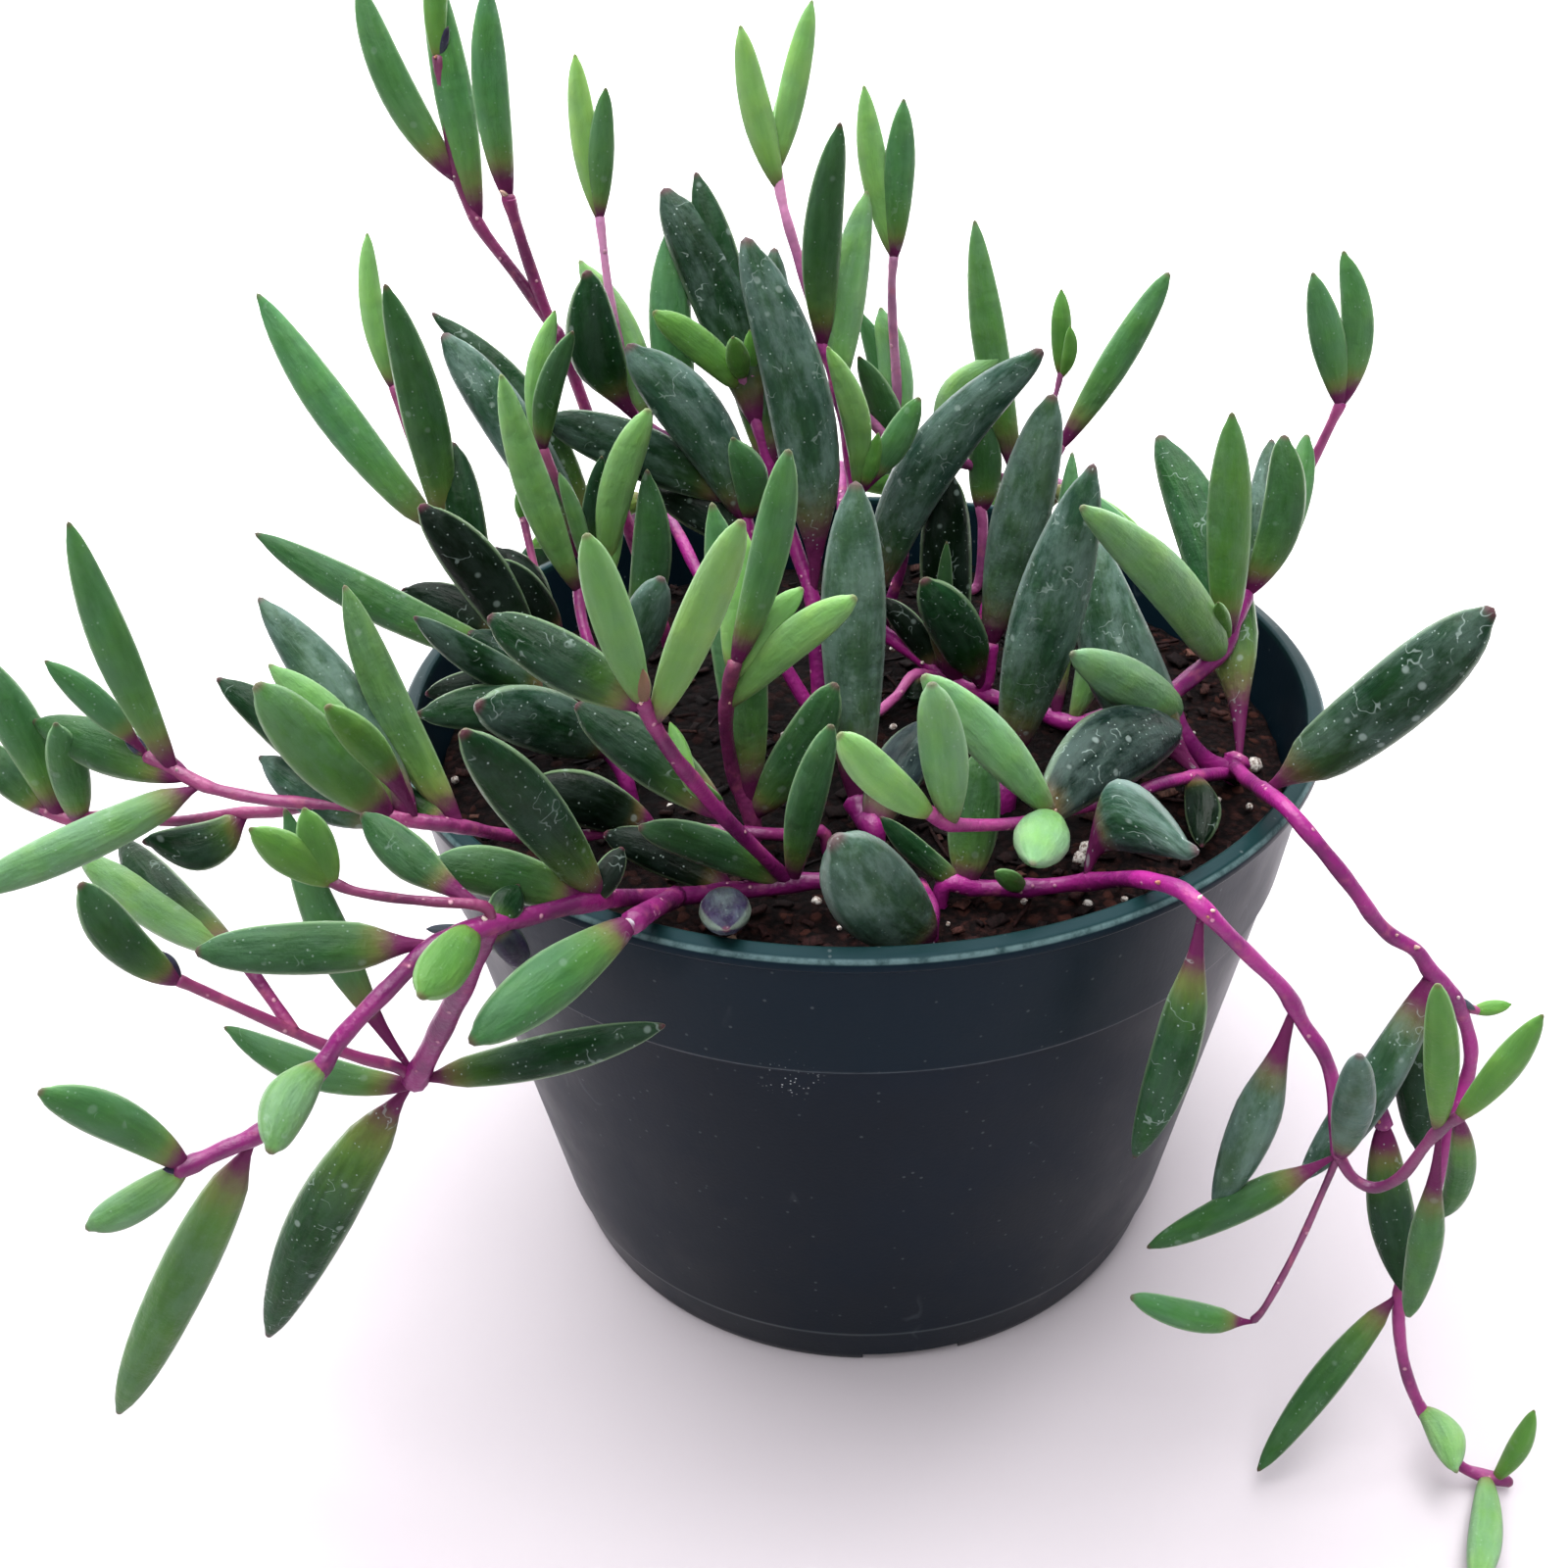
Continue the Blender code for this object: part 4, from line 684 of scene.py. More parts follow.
def add_node(tree, kind, inputs, **settings):
    made = tree.nodes.new("ShaderNode" + kind)
    for name, value in settings.items():
        setattr(made, name, value)
    for name, value in inputs.items():
        feed(tree, made, name, value)
    return made


def worked(tree, operation, first, second=0.0):
    return add_node(tree, "Math", {0: first, 1: second}, operation=operation).outputs[0]


def times(tree, first, second):
    return worked(tree, "MULTIPLY", first, second)


def stepped(tree, value, low, high, start=0.0, end=1.0):
    """The value eased from start to end between low and high."""
    inputs = {"Value": value, "From Min": low, "From Max": high, "To Min": start, "To Max": end}
    return add_node(tree, "MapRange", inputs, interpolation_type="SMOOTHSTEP").outputs["Result"]


def band(tree, value, low, full, last, high):
    """A mask that is full from full to last, and eased to nothing at low and at high."""
    return times(tree, stepped(tree, value, low, full), stepped(tree, value, high, last))


def blended(tree, share, first, second, way="MIX"):
    inputs = {0: share, 6: first, 7: second}
    return add_node(tree, "Mix", inputs, data_type="RGBA", blend_type=way).outputs[2]


def washed(tree, colour, mask, strength, wash):
    """The colour with another laid over it where the mask is."""
    return blended(tree, times(tree, mask, strength), colour, wash)


def tinted(tree, colour, *tint):
    """The colour with its red, green and blue multiplied."""
    return blended(tree, 1.0, colour, (*tint, 1), "MULTIPLY")


def clouds(tree, place, scale, detail=3.0, roughness=0.5):
    inputs = {"Vector": place, "Scale": scale, "Detail": detail, "Roughness": roughness}
    return add_node(tree, "TexNoise", inputs).outputs[0]


def cells(tree, place, scale, channel):
    """Random cells: the distance from the middle of a cell, and a chance for each cell."""
    made = add_node(tree, "TexVoronoi", {"Vector": place, "Scale": scale}).outputs
    return made["Distance"], add_node(tree, "SeparateColor", {0: made["Color"]}).outputs[channel]


def scaled(tree, place, *amounts):
    return add_node(tree, "VectorMath", {0: place, 1: amounts}, operation="MULTIPLY").outputs[0]


def distance_from(tree, place, *spot):
    return add_node(tree, "VectorMath", {0: place, 1: spot}, operation="DISTANCE").outputs["Value"]


def object_place(tree):
    return add_node(tree, "TexCoord", {}).outputs["Object"]


def place_in_mm(tree):
    return scaled(tree, object_place(tree), 1000.0, 1000.0, 1000.0)


def attribute(tree, name, output="Fac"):
    return add_node(tree, "Attribute", {}, attribute_name=name).outputs[output]


def new_group(name, **inputs):
    """A node group with a place and these numbers as inputs, and its inner ends. It puts out a mask."""
    group = bpy.data.node_groups.new(name, "ShaderNodeTree")
    group.interface.new_socket("Place", in_out="INPUT", socket_type="NodeSocketVector")
    for label, value in inputs.items():
        group.interface.new_socket(label, in_out="INPUT", socket_type="NodeSocketFloat").default_value = value
    group.interface.new_socket("Mask", in_out="OUTPUT", socket_type="NodeSocketFloat")
    return group, group.nodes.new("NodeGroupInput").outputs, group.nodes.new("NodeGroupOutput")


def speckle_group():
    """Small round specks at random, from a place, their spacing and their share."""
    group, given, put = new_group("specks", Density=1.0, Share=0.3)
    off, chance = cells(group, given["Place"], given["Density"], 0)
    kept = worked(group, "LESS_THAN", chance, given["Share"])
    feed(group, put, "Mask", times(group, stepped(group, off, 0.26, 0.12), kept))
    return group


def scribble_group():
    """Thin broken winding lines, such as dried water leaves, from a place, their spacing and their amount."""
    group, given, put = new_group("scribbles", Density=0.5, Amount=0.5)
    field = clouds(group, given["Place"], given["Density"], 2.0)
    off = worked(group, "ABSOLUTE", worked(group, "SUBTRACT", field, 0.5))
    line = stepped(group, off, 0.014, 0.003)
    patches = clouds(group, given["Place"], 0.31, 2.0)
    low = worked(group, "SUBTRACT", 0.68, times(group, given["Amount"], 0.2))
    high = worked(group, "ADD", low, 0.06)
    feed(group, put, "Mask", times(group, line, stepped(group, patches, low, high)))
    return group


def place_group(tree, group, **inputs):
    return add_node(tree, "Group", inputs, node_tree=group).outputs[0]


def new_material(name, **constants):
    """A material, its node tree and its shader, with constants on the shader's own sockets."""
    material = bpy.data.materials.new(name)
    material.use_nodes = True
    tree = material.node_tree
    shader = tree.nodes["Principled BSDF"]
    for label, value in constants.items():
        shader.inputs[label.replace("_", " ")].default_value = value
    return material, tree, shader


def join(tree, shader, colour, roughness=None, height=None, depth=None, strength=1.0):
    """Links a colour, a roughness and a relief of this depth in metres to the shader."""
    feed(tree, shader, "Base Color", colour)
    if roughness is not None:
        feed(tree, shader, "Roughness", roughness)
    if height is not None:
        bump = add_node(tree, "Bump", {"Height": height, "Distance": depth, "Strength": strength})
        feed(tree, shader, "Normal", bump.outputs[0])


def leaf_skin(specks, scribbles):
    """Waxy leaf: its own tone, paler foot, painted sheen along the margins, purple root and point, grey
    bloom, dried marks.
    """
    material, tree, shader = new_material(
        "waxy_leaf", Roughness=0.4, Specular_IOR_Level=0.14, IOR=1.4,
        Subsurface_Weight=0.06, Subsurface_Radius=(0.6, 1.0, 0.3), Subsurface_Scale=0.0012,
    )
    place, tone = attribute(tree, "place", "Vector"), attribute(tree, "tone", "Color")
    along, margin, bloom, marks, fresh, stalk = [attribute(tree, name) for name in LEAF_SHARES]

    streaks = clouds(tree, scaled(tree, place, 1.0, 0.16, 1.0), 1.1, 4.0, 0.55)
    patches = clouds(tree, place, 0.24, 3.0)
    warm = tinted(tree, tone, 1.2, 1.12, 0.84)
    colour = blended(tree, stepped(tree, patches, 0.4, 0.72, 0.0, 0.7), tone, warm)
    colour = washed(tree, colour, stepped(tree, along, 0.52, 0.1), fresh, paint(116, 150, 68))
    aged = stepped(tree, marks, 0.0, 0.5, 0.22, 0.66)
    dim = tinted(tree, colour, 0.46, 0.54, 0.52)
    colour = washed(tree, colour, stepped(tree, streaks, 0.66, 0.36), aged, dim)
    core = tinted(tree, colour, 0.62, 0.8, 0.52)
    colour = blended(tree, stepped(tree, margin, 0.8, 0.2, 0.0, 0.62), colour, core)
    # Painted sheen: the margins, where the leaf turns away from the eye, are paled towards the colours of its
    # bloom.
    painted_edge_sheen = blended(tree, 0.5, colour, blended(tree, bloom, paint(168, 204, 150), paint(156, 160, 172)))
    colour = washed(tree, colour, stepped(tree, margin, 0.84, 1.0), 0.7, painted_edge_sheen)

    mist = clouds(tree, scaled(tree, place, 1.0, 0.4, 1.0), 0.42, 5.0, 0.66)
    mist = stepped(tree, mist, 0.38, 0.66)
    colour = washed(tree, colour, times(tree, mist, bloom), 0.52, paint(118, 142, 136))

    spread = times(tree, clouds(tree, place, 0.9, 3.0), 0.06)
    past = worked(tree, "SUBTRACT", worked(tree, "ADD", stalk, spread), along)
    colour = blended(tree, stepped(tree, past, -0.12, 0.02, 0.0, 0.5), colour, paint(112, 92, 60))
    colour = blended(tree, stepped(tree, past, -0.03, 0.09), colour, paint(94, 32, 74))
    point = blended(tree, 0.35, paint(96, 40, 62), colour)
    colour = blended(tree, stepped(tree, along, 0.982, 0.999, 0.0, 0.85), colour, point)

    dots = place_group(tree, specks, Place=place, Density=2.0, Share=0.16)
    dew = place_group(tree, specks, Place=place, Density=0.5, Share=0.2)
    smears = stepped(tree, clouds(tree, place, 1.3, 5.0, 0.7), 0.66, 0.74)
    lines = place_group(tree, scribbles, Place=place, Density=0.34, Amount=marks)
    white = times(tree, dots, 0.9)
    for mask, strength in ((lines, 0.48), (smears, 0.65), (dew, 0.5)):
        white = worked(tree, "MAXIMUM", white, times(tree, mask, strength))
    colour = washed(tree, colour, white, marks, paint(176, 194, 188))

    roughness = stepped(tree, mist, 0.0, 1.0, 0.3, 0.5)
    fine = times(tree, clouds(tree, place, 3.2, 2.0), 0.16)
    height = worked(tree, "ADD", times(tree, streaks, 0.8), fine)
    height = worked(tree, "ADD", height, times(tree, patches, 1.6))
    join(tree, shader, colour, roughness, height, 0.4 * MM, 0.7)
    return material


def stem_skin(specks):
    """Magenta stem with darker and paler stretches and pale pores."""
    material, tree, shader = new_material(
        "purple_stem", Roughness=0.36, Specular_IOR_Level=0.45,
        Subsurface_Weight=0.06, Subsurface_Radius=(1.0, 0.4, 0.8), Subsurface_Scale=0.001,
    )
    place = place_in_mm(tree)
    tone = attribute(tree, "tone", "Color")
    dark = tinted(tree, tone, 0.42, 0.34, 0.48)
    patches = clouds(tree, place, 0.16, 3.0)
    colour = blended(tree, stepped(tree, patches, 0.34, 0.62, 0.85, 0.0), tone, dark)
    # The paler pink stretches are partly the stem's own colour and partly a painted highlight.
    warm = clouds(tree, place, 0.5, 4.0)
    colour = blended(tree, stepped(tree, warm, 0.56, 0.78, 0.0, 0.4), colour, paint(186, 96, 118))
    pores = place_group(tree, specks, Place=place, Density=0.9, Share=0.2)
    colour = washed(tree, colour, pores, 0.6, paint(214, 160, 176))
    roughness = stepped(tree, warm, 0.3, 0.7, 0.3, 0.5)
    relief = worked(tree, "ADD", clouds(tree, place, 1.6, 4.0), pores)
    join(tree, shader, colour, roughness, relief, 0.3 * MM, 0.5)
    return material


def pot_plastic(specks, scribbles):
    """Dark green-black moulded plastic, satin, with a lighter teal painted on the top of the lip as painted
    light, pale along the lip's outer edge from wear and a painted highlight, with dust and fine scratches.
    """
    material, tree, shader = new_material(
        "pot_plastic_worn", Roughness=0.3, IOR=1.18, Specular_Tint=(0.5, 0.68, 1.0, 1)
    )
    place = place_in_mm(tree)
    height = add_node(tree, "SeparateXYZ", {0: place}).outputs["Z"]
    flat = scaled(tree, place, 1.0, 1.0, 0.0)
    radius = add_node(tree, "VectorMath", {0: flat}, operation="LENGTH").outputs["Value"]
    patches = clouds(tree, place, 0.05, 4.0, 0.6)
    colour = blended(tree, stepped(tree, patches, 0.35, 0.7), paint(7, 16, 24), paint(12, 22, 32))
    collar = stepped(tree, height, COLLAR_HEIGHT / MM - 0.6, COLLAR_HEIGHT / MM + 0.2)
    colour = washed(tree, colour, collar, 0.6, paint(10, 27, 35))
    # Painted light: the top of the lip, which faces up, is painted a lighter teal.
    painted_lip_top_light = stepped(tree, height, RIM_HEIGHT / MM - 1.0, RIM_HEIGHT / MM - 0.6)
    colour = washed(tree, colour, painted_lip_top_light, 0.85, paint(17, 42, 42))

    breakup = clouds(tree, place, 0.5, 5.0, 0.7)
    # The pale line along the outer top edge of the lip is partly wear and partly a painted highlight.
    edge = times(tree, stepped(tree, radius, 53.45, 53.7), band(tree, height, 73.6, 73.8, 74.12, 74.3))
    rim_wear_and_highlight = times(tree, edge, stepped(tree, breakup, 0.3, 0.62, 0.15, 1.0))
    colour = washed(tree, colour, rim_wear_and_highlight, 0.4, paint(120, 146, 148))
    # Pale lines along the collar step and along the crease above the foot, broken up in places.
    ledge = band(tree, height, 57.2, 57.35, 57.7, 57.85)
    colour = washed(tree, colour, ledge, stepped(tree, breakup, 0.3, 0.6, 0.12, 0.42), paint(92, 106, 112))
    low_ledge = band(tree, height, 6.4, 6.55, 7.0, 7.15)
    colour = washed(tree, colour, low_ledge, 0.3, paint(70, 88, 90))

    dust = place_group(tree, specks, Place=place, Density=1.1, Share=0.07)
    colour = washed(tree, colour, dust, 0.22, paint(120, 130, 130))
    crumbs = place_group(tree, specks, Place=place, Density=2.1, Share=0.5)
    near = stepped(tree, distance_from(tree, place, -7.0, -49.0, 56.2), 4.2, 1.2)
    colour = washed(tree, colour, crumbs, near, paint(176, 184, 184))
    drawn = scaled(tree, place, 0.3, 0.3, 0.12)
    scratch = place_group(tree, scribbles, Place=drawn, Density=0.4, Amount=0.2)
    colour = washed(tree, colour, scratch, 0.12, paint(110, 120, 124))

    roughness = stepped(tree, patches, 0.3, 0.72, 0.3, 0.44)
    fine = times(tree, clouds(tree, place, 2.2, 2.0), 0.35)
    streaks = times(tree, clouds(tree, scaled(tree, place, 1.0, 1.0, 0.04), 1.5, 3.0), 0.35)
    join(tree, shader, colour, roughness, worked(tree, "ADD", fine, streaks), 0.1 * MM, 0.25)
    return material


def painted_crown_shade(tree, place, colour):
    """The colour with painted shade: much darker in the middle of the pot, under the crown, than near its
    front wall.
    """
    shaded_colour = tinted(tree, colour, 0.22, 0.2, 0.22)
    return blended(tree, stepped(tree, distance_from(tree, place, -6.0, 12.0, 66.0), 40.0, 56.0), shaded_colour, colour)


def peat():
    """Moist dark peat: black-brown to red-brown crumbs."""
    material, tree, shader = new_material("dark_peat", Roughness=0.85, Specular_IOR_Level=0.08)
    place = place_in_mm(tree)
    off, chance = cells(tree, place, 0.8, 1)
    grains = clouds(tree, place, 0.9, 6.0, 0.7)
    colour = blended(tree, stepped(tree, grains, 0.4, 0.66), paint(14, 9, 10), paint(48, 27, 25))
    colour = blended(tree, stepped(tree, chance, 0.7, 1.0, 0.0, 0.6), colour, paint(84, 48, 40))
    # Painted shade: darker where the crumbs meet, in the hollows of the relief.
    colour = blended(tree, stepped(tree, off, 0.4, 0.8, 0.0, 0.85), colour, paint(8, 5, 6))
    height = worked(tree, "SUBTRACT", grains, off)
    join(tree, shader, painted_crown_shade(tree, place, colour), None, height, 1.2 * MM, 0.8)
    return material


def bark():
    """Flakes of bark and splinters: brown to tan by flake, with fibres along them."""
    material, tree, shader = new_material("bark_flake", Roughness=0.8, Specular_IOR_Level=0.12)
    place = place_in_mm(tree)
    tone = attribute(tree, "tone", "Color")
    fibres = clouds(tree, scaled(tree, place, 2.2, 0.7, 2.2), 1.3, 5.0, 0.65)
    colour = blended(tree, stepped(tree, fibres, 0.35, 0.65), tinted(tree, tone, 0.35, 0.32, 0.3), tone)
    join(tree, shader, painted_crown_shade(tree, place, colour), None, fibres, 0.4 * MM, 0.7)
    return material


def pale_mineral():
    """White expanded grains: rough, with brownish pits."""
    material, tree, shader = new_material("pale_grain", Roughness=0.9, Specular_IOR_Level=0.3)
    pits = clouds(tree, place_in_mm(tree), 2.4, 4.0, 0.6)
    colour = blended(tree, stepped(tree, pits, 0.38, 0.6), paint(120, 104, 96), paint(216, 210, 204))
    join(tree, shader, colour, None, pits, 0.5 * MM, 0.7)
    return material


def floor_paint():
    """Pale lilac-grey under the pot, fading to white at the backdrop."""
    material, tree, shader = new_material("pale_floor_paint", Roughness=0.6, Specular_IOR_Level=0.3)
    spot = object_place(tree)
    haze = clouds(tree, spot, 3.0, 3.0)
    near = blended(tree, stepped(tree, haze, 0.3, 0.7), paint(178, 170, 177), paint(186, 179, 185))
    depth = add_node(tree, "SeparateXYZ", {0: spot}).outputs["Y"]
    join(tree, shader, blended(tree, stepped(tree, depth, -0.05, BACKDROP_START), near, paint(248, 247, 248)))
    return material


# Leaves

# What each point of a leaf carries for its skin, apart from its tone and its place: how far along the leaf
# and towards its margin it lies, and its bloom, marks, freshness and purple root
LEAF_SHARES = ("along", "margin", "bloom", "marks", "fresh", "stalk")


def leaf_layers(bm):
    layers = bm.verts.layers
    made = {"tone": layers.float_color.new("tone"), "place": layers.float_vector.new("place")}
    for name in LEAF_SHARES:
        made[name] = layers.float.new(name)
    return made


def leaf_width(along, lean, round_share):
    """Share of the full width at this share of the length, from a spindle to a blunt finger."""
    return max(math.sin(math.pi * along**lean), 0) ** round_share if 0 < along < 1 else 0


def add_leaf(bm, layers, root, tip, width, bow, tone, stalk, chance, shade=1.0):
    """A plump leaf: a ball drawn out along a bowed line, flattened, with a stalk and a small hard point."""
    course = (tip - root).normalized()
    right = course.cross((EYE - root).normalized())
    reach = right.length * (tip - root).length
    right.normalize()
    through = right.cross(course)
    base = root - course * ROOT_SINK
    length = (tip - base).length
    full_footed = tone.endswith("r")
    lean, round_share = FULL_FOOTED_LEAF if full_footed else BLUNT_LEAF if tone.isupper() else POINTED_LEAF
    tone = tone[0].lower()
    colour, bloom, marks, fresh = LEAF_TONES[tone]
    light = shade * (1 + chance.uniform(-0.1, 0.1))
    warm = chance.uniform(-0.06, 0.06)
    colour = (colour[0] * light * (1 + warm), colour[1] * light, colour[2] * light * (1 - warm), 1)
    purple = stalk or (PALE_PURPLE_ROOT if tone in PALE_TONES else PURPLE_ROOT)
    if tone == ROOTLESS_TONE:
        purple = 0
    purple += chance.uniform(0, 0.05)
    if full_footed:
        purple += FULL_FOOT_PURPLE
    shift = Vector((chance.uniform(0, 500), chance.uniform(0, 500), chance.uniform(0, 500)))
    wave = chance.uniform(0, math.tau)
    ball = bmesh.ops.create_uvsphere(bm, u_segments=LEAF_SIDES, v_segments=LEAF_RINGS, radius=1)
    for vertex in ball["verts"]:
        along = (1 - vertex.co.z) / 2
        half = width / 2 * leaf_width(along, lean, round_share)
        half *= 1 + LEAF_UNEVENNESS * math.sin(wave + LEAF_WAVES * along)
        if stalk:
            half *= STALK_WIDTH + (1 - STALK_WIDTH) * eased(along, stalk * 0.5, stalk * 1.9)
        turn = math.atan2(vertex.co.y, vertex.co.x)
        line = base.lerp(tip, along) + right * (bow * reach * 4 * along * (1 - along))
        line += course * (LEAF_POINT * width * eased(along, POINT_START, 1.0))
        thin = half * LEAF_FLATNESS
        line = lifted(line, math.hypot(half * right.z, thin * through.z))
        groove = 1 - LEAF_GROOVE * max(math.sin(turn), 0) ** 6
        beside, above = half * math.cos(turn), thin * math.sin(turn) * groove
        vertex.co = line + right * beside + through * above
        vertex[layers["tone"]] = colour
        vertex[layers["place"]] = Vector((beside, along * length, above)) / MM + shift
        margin = abs(math.cos(turn)) * eased(along, 0, 0.08)
        for name, value in zip(LEAF_SHARES, (along, margin, bloom, marks, fresh, purple)):
            vertex[layers[name]] = value


# Stems

def smooth_route(points, radii):
    """A smooth line through the points of a stem, and its radius along it."""
    line, sizes = [], []
    for i in range(len(points) - 1):
        start, end = points[i], points[i + 1]
        out = end - points[max(i - 1, 0)]
        into = points[min(i + 2, len(points) - 1)] - start
        bend = (2 * start - 2 * end) + (out + into) / 2
        for step in range(SPAN_STEPS):
            t = step / SPAN_STEPS
            line.append(start + out / 2 * t + (3 * (end - start) - out - into / 2) * t**2 + bend * t**3)
            sizes.append(radii[i] + (radii[i + 1] - radii[i]) * t)
    line.append(points[-1])
    sizes.append(radii[-1])
    last = (line[-1] - line[-2]).normalized()
    line.append(line[-1] + last * sizes[-1] * 0.5)
    sizes.append(sizes[-1] * 0.6)
    return line, sizes


def knotted(line, sizes, knots, chance):
    """The radii of a stem, swollen where leaves and side stems leave it and a little uneven."""
    wave = chance.uniform(0, math.tau)
    swollen = []
    for number, (point, size) in enumerate(zip(line, sizes)):
        gain = STEM_UNEVENNESS * math.sin(wave + number * 0.9)
        for knot in knots:
            gain += KNOT_SWELLING * math.exp(-(((point - knot).length / KNOT_REACH) ** 2))
        swollen.append(size * (1 + min(gain, KNOT_SWELLING)))
    return swollen


def stem_tones(sizes, magenta, rose, chance):
    """A tone for each point of a stem: magenta where it is thick and rose where it is thin."""
    light = 1 + chance.uniform(-0.25, 0.12)
    tones = []
    for size in sizes:
        share = eased(size, THICK_STEM, THIN_STEM)
        mixed = [(a * (1 - share) + b * share) * light for a, b in zip(magenta, rose)]
        tones.append((*mixed[:3], 1))
    return tones


def mesh_of(shown):
    """The mesh of an object as its curve or its modifiers shape it."""
    bpy.context.view_layer.update()
    graph = bpy.context.evaluated_depsgraph_get()
    return bpy.data.meshes.new_from_object(shown.evaluated_get(graph), depsgraph=graph)


def add_tube(bm, tone_layer, points, radii, tones):
    """A stem: a curve with a bevel, whose radius changes along it, made part of the mesh."""
    curve = bpy.data.curves.new("stem_line", "CURVE")
    curve.dimensions = "3D"
    curve.bevel_depth = 1 * MM
    curve.bevel_resolution = 3
    curve.use_fill_caps = True
    spline = curve.splines.new("POLY")
    spline.points.add(len(points) - 1)
    for knot, point, radius in zip(spline.points, points, radii):
        knot.co = (*point, 1)
        knot.radius = radius / MM
    guide = bpy.data.objects.new("stem_guide", curve)
    bpy.context.scene.collection.objects.link(guide)
    mesh = mesh_of(guide)
    bpy.data.objects.remove(guide)
    bpy.data.curves.remove(curve)
    known = len(bm.verts)
    bm.from_mesh(mesh)
    bpy.data.meshes.remove(mesh)
    bm.verts.ensure_lookup_table()
    fresh = bm.verts[known:]
    finder = kdtree.KDTree(len(points))
    for number, point in enumerate(points):
        finder.insert(point, number)
    finder.balance()
    for vertex in fresh:
        vertex[tone_layer] = tones[finder.find(vertex.co)[1]]
    bmesh.ops.remove_doubles(bm, verts=fresh, dist=WELD)


def nearest_on_route(route, wanted):
    """The point of a stem that lies nearest to this place in the picture."""
    best = None
    for start, end in zip(route, route[1:]):
        near_start = in_picture(start)
        run = in_picture(end) - near_start
        share = min(max((wanted - near_start).dot(run) / max(run.length_squared, 1e-9), 0), 1)
        miss = (near_start + run * share - wanted).length
        if best is None or miss < best[0]:
            best = (miss, start.lerp(end, share))
    return best[1]


def add_stub(bm, tone_layer, foot, chance):
    """A short dried stub that stands out of a stem towards the viewer and upwards."""
    out = (EYE - foot).normalized() + Vector((chance.uniform(-0.9, 0.9), 0, chance.uniform(-0.2, 0.9)))
    size = chance.uniform(0.75, 1.25)
    turn = out.to_track_quat("Z", "Y").to_matrix().to_4x4()
    middle = foot + out.normalized() * STUB_LENGTH * size * 0.8
    made = bmesh.ops.create_cone(
        bm, cap_ends=True, segments=7, radius1=STUB_RADIUS * size, radius2=STUB_RADIUS * size * STUB_TAPER,
        depth=STUB_LENGTH * size, matrix=Matrix.Translation(middle) @ turn,
    )
    tone = chance.choice(STUB_TONES)
    for vertex in made["verts"]:
        vertex.co += (vertex.co - middle) * chance.uniform(-0.2, 0.2)
        vertex[tone_layer] = tone


class Shoot:
    """The leaves and the stems of one shoot as they grow, each for a piece of its own."""

    def __init__(self, name):
        self.name = name
        self.chance = random.Random(name)
        self.leaves, self.wood = bmesh.new(), bmesh.new()
        self.leaf_layers = leaf_layers(self.leaves)
        self.tone_layer = self.wood.verts.layers.float_color.new("tone")
        self.shade = SHADED_SHOOTS.get(name, 1)
        self.magenta = SHOOT_MAGENTAS.get(name, STEM_MAGENTA)
        self.rose = SHOOT_ROSES.get(name, STEM_ROSE)

    def add_leaf(self, root, tip, width, bow, tone, stalk):
        add_leaf(self.leaves, self.leaf_layers, root, tip, width, bow, tone, stalk, self.chance, self.shade)

    def add_stem(self, line, sizes, knots):
        tones = stem_tones(sizes, self.magenta, self.rose, self.chance)
        add_tube(self.wood, self.tone_layer, line, knotted(line, sizes, knots, self.chance), tones)

    def finish(self, leaf_material, stem_material):
        add_piece(self.name + "_leaves", self.leaves, "leaf_green", leaf_material, self.name)
        add_piece(self.name + "_stems", self.wood, "stem_purple", stem_material, self.name)


def dress_shoot(name, stems, leaf_material, stem_material):
    """A shoot as the picture shows it."""
    shoot = Shoot(name)
    lines = []
    for number, (places, first, last, blades) in enumerate(stems):
        radii = [(first + (last - first) * i / (len(places) - 1)) * MM for i in range(len(places))]
        points = [lifted(in_depth(*place), radius) for place, radius in zip(places, radii)]
        if number == 0:
            points.insert(0, buried(points[0]))
            radii.insert(0, radii[0])
        line, sizes = smooth_route(points, radii)
        knots = []
        for across, down, tip_across, tip_down, deeper, width, bow, tone in blades:
            root = nearest_on_route(line, Vector((across, down)))
            tip = in_depth(tip_across, tip_down, root.y / MM + deeper)
            shoot.add_leaf(root, tip, width * MM, bow, tone, STALKS.get((across, down), 0))
            knots.append(root)
        shoot.add_stem(line, sizes, knots)
        lines.append(line)
    for place in STUBS.get(name, ()):
        wanted = Vector(place)
        feet = [nearest_on_route(line, wanted) for line in lines]
        foot = min(feet, key=lambda point: (in_picture(point) - wanted).length)
        add_stub(shoot.wood, shoot.tone_layer, foot, shoot.chance)
    shoot.finish(leaf_material, stem_material)


def back_route(outward, stand, drop):
    """The line of a stem from the soil at the back, up over the rim and down outside the wall."""
    over = RIM_HEIGHT + BACK_OVER_RIM
    points = []
    for i in range(BACK_STEM_POINTS):
        share = i / (BACK_STEM_POINTS - 1)
        reach = stand + (RIM_RADIUS + BACK_OFF_RIM - stand) * min(1, 1.35 * share) ** 0.8
        rise = math.sin(min(share / BACK_CREST, 1) * math.pi / 2)
        fall = max(share - BACK_CREST, 0) / (1 - BACK_CREST)
        height = SOIL_TOP + (over - SOIL_TOP) * rise - (drop + BACK_OVER_RIM) * fall**1.6
        points.append(outward * reach + Vector((0, 0, height)))
    return points


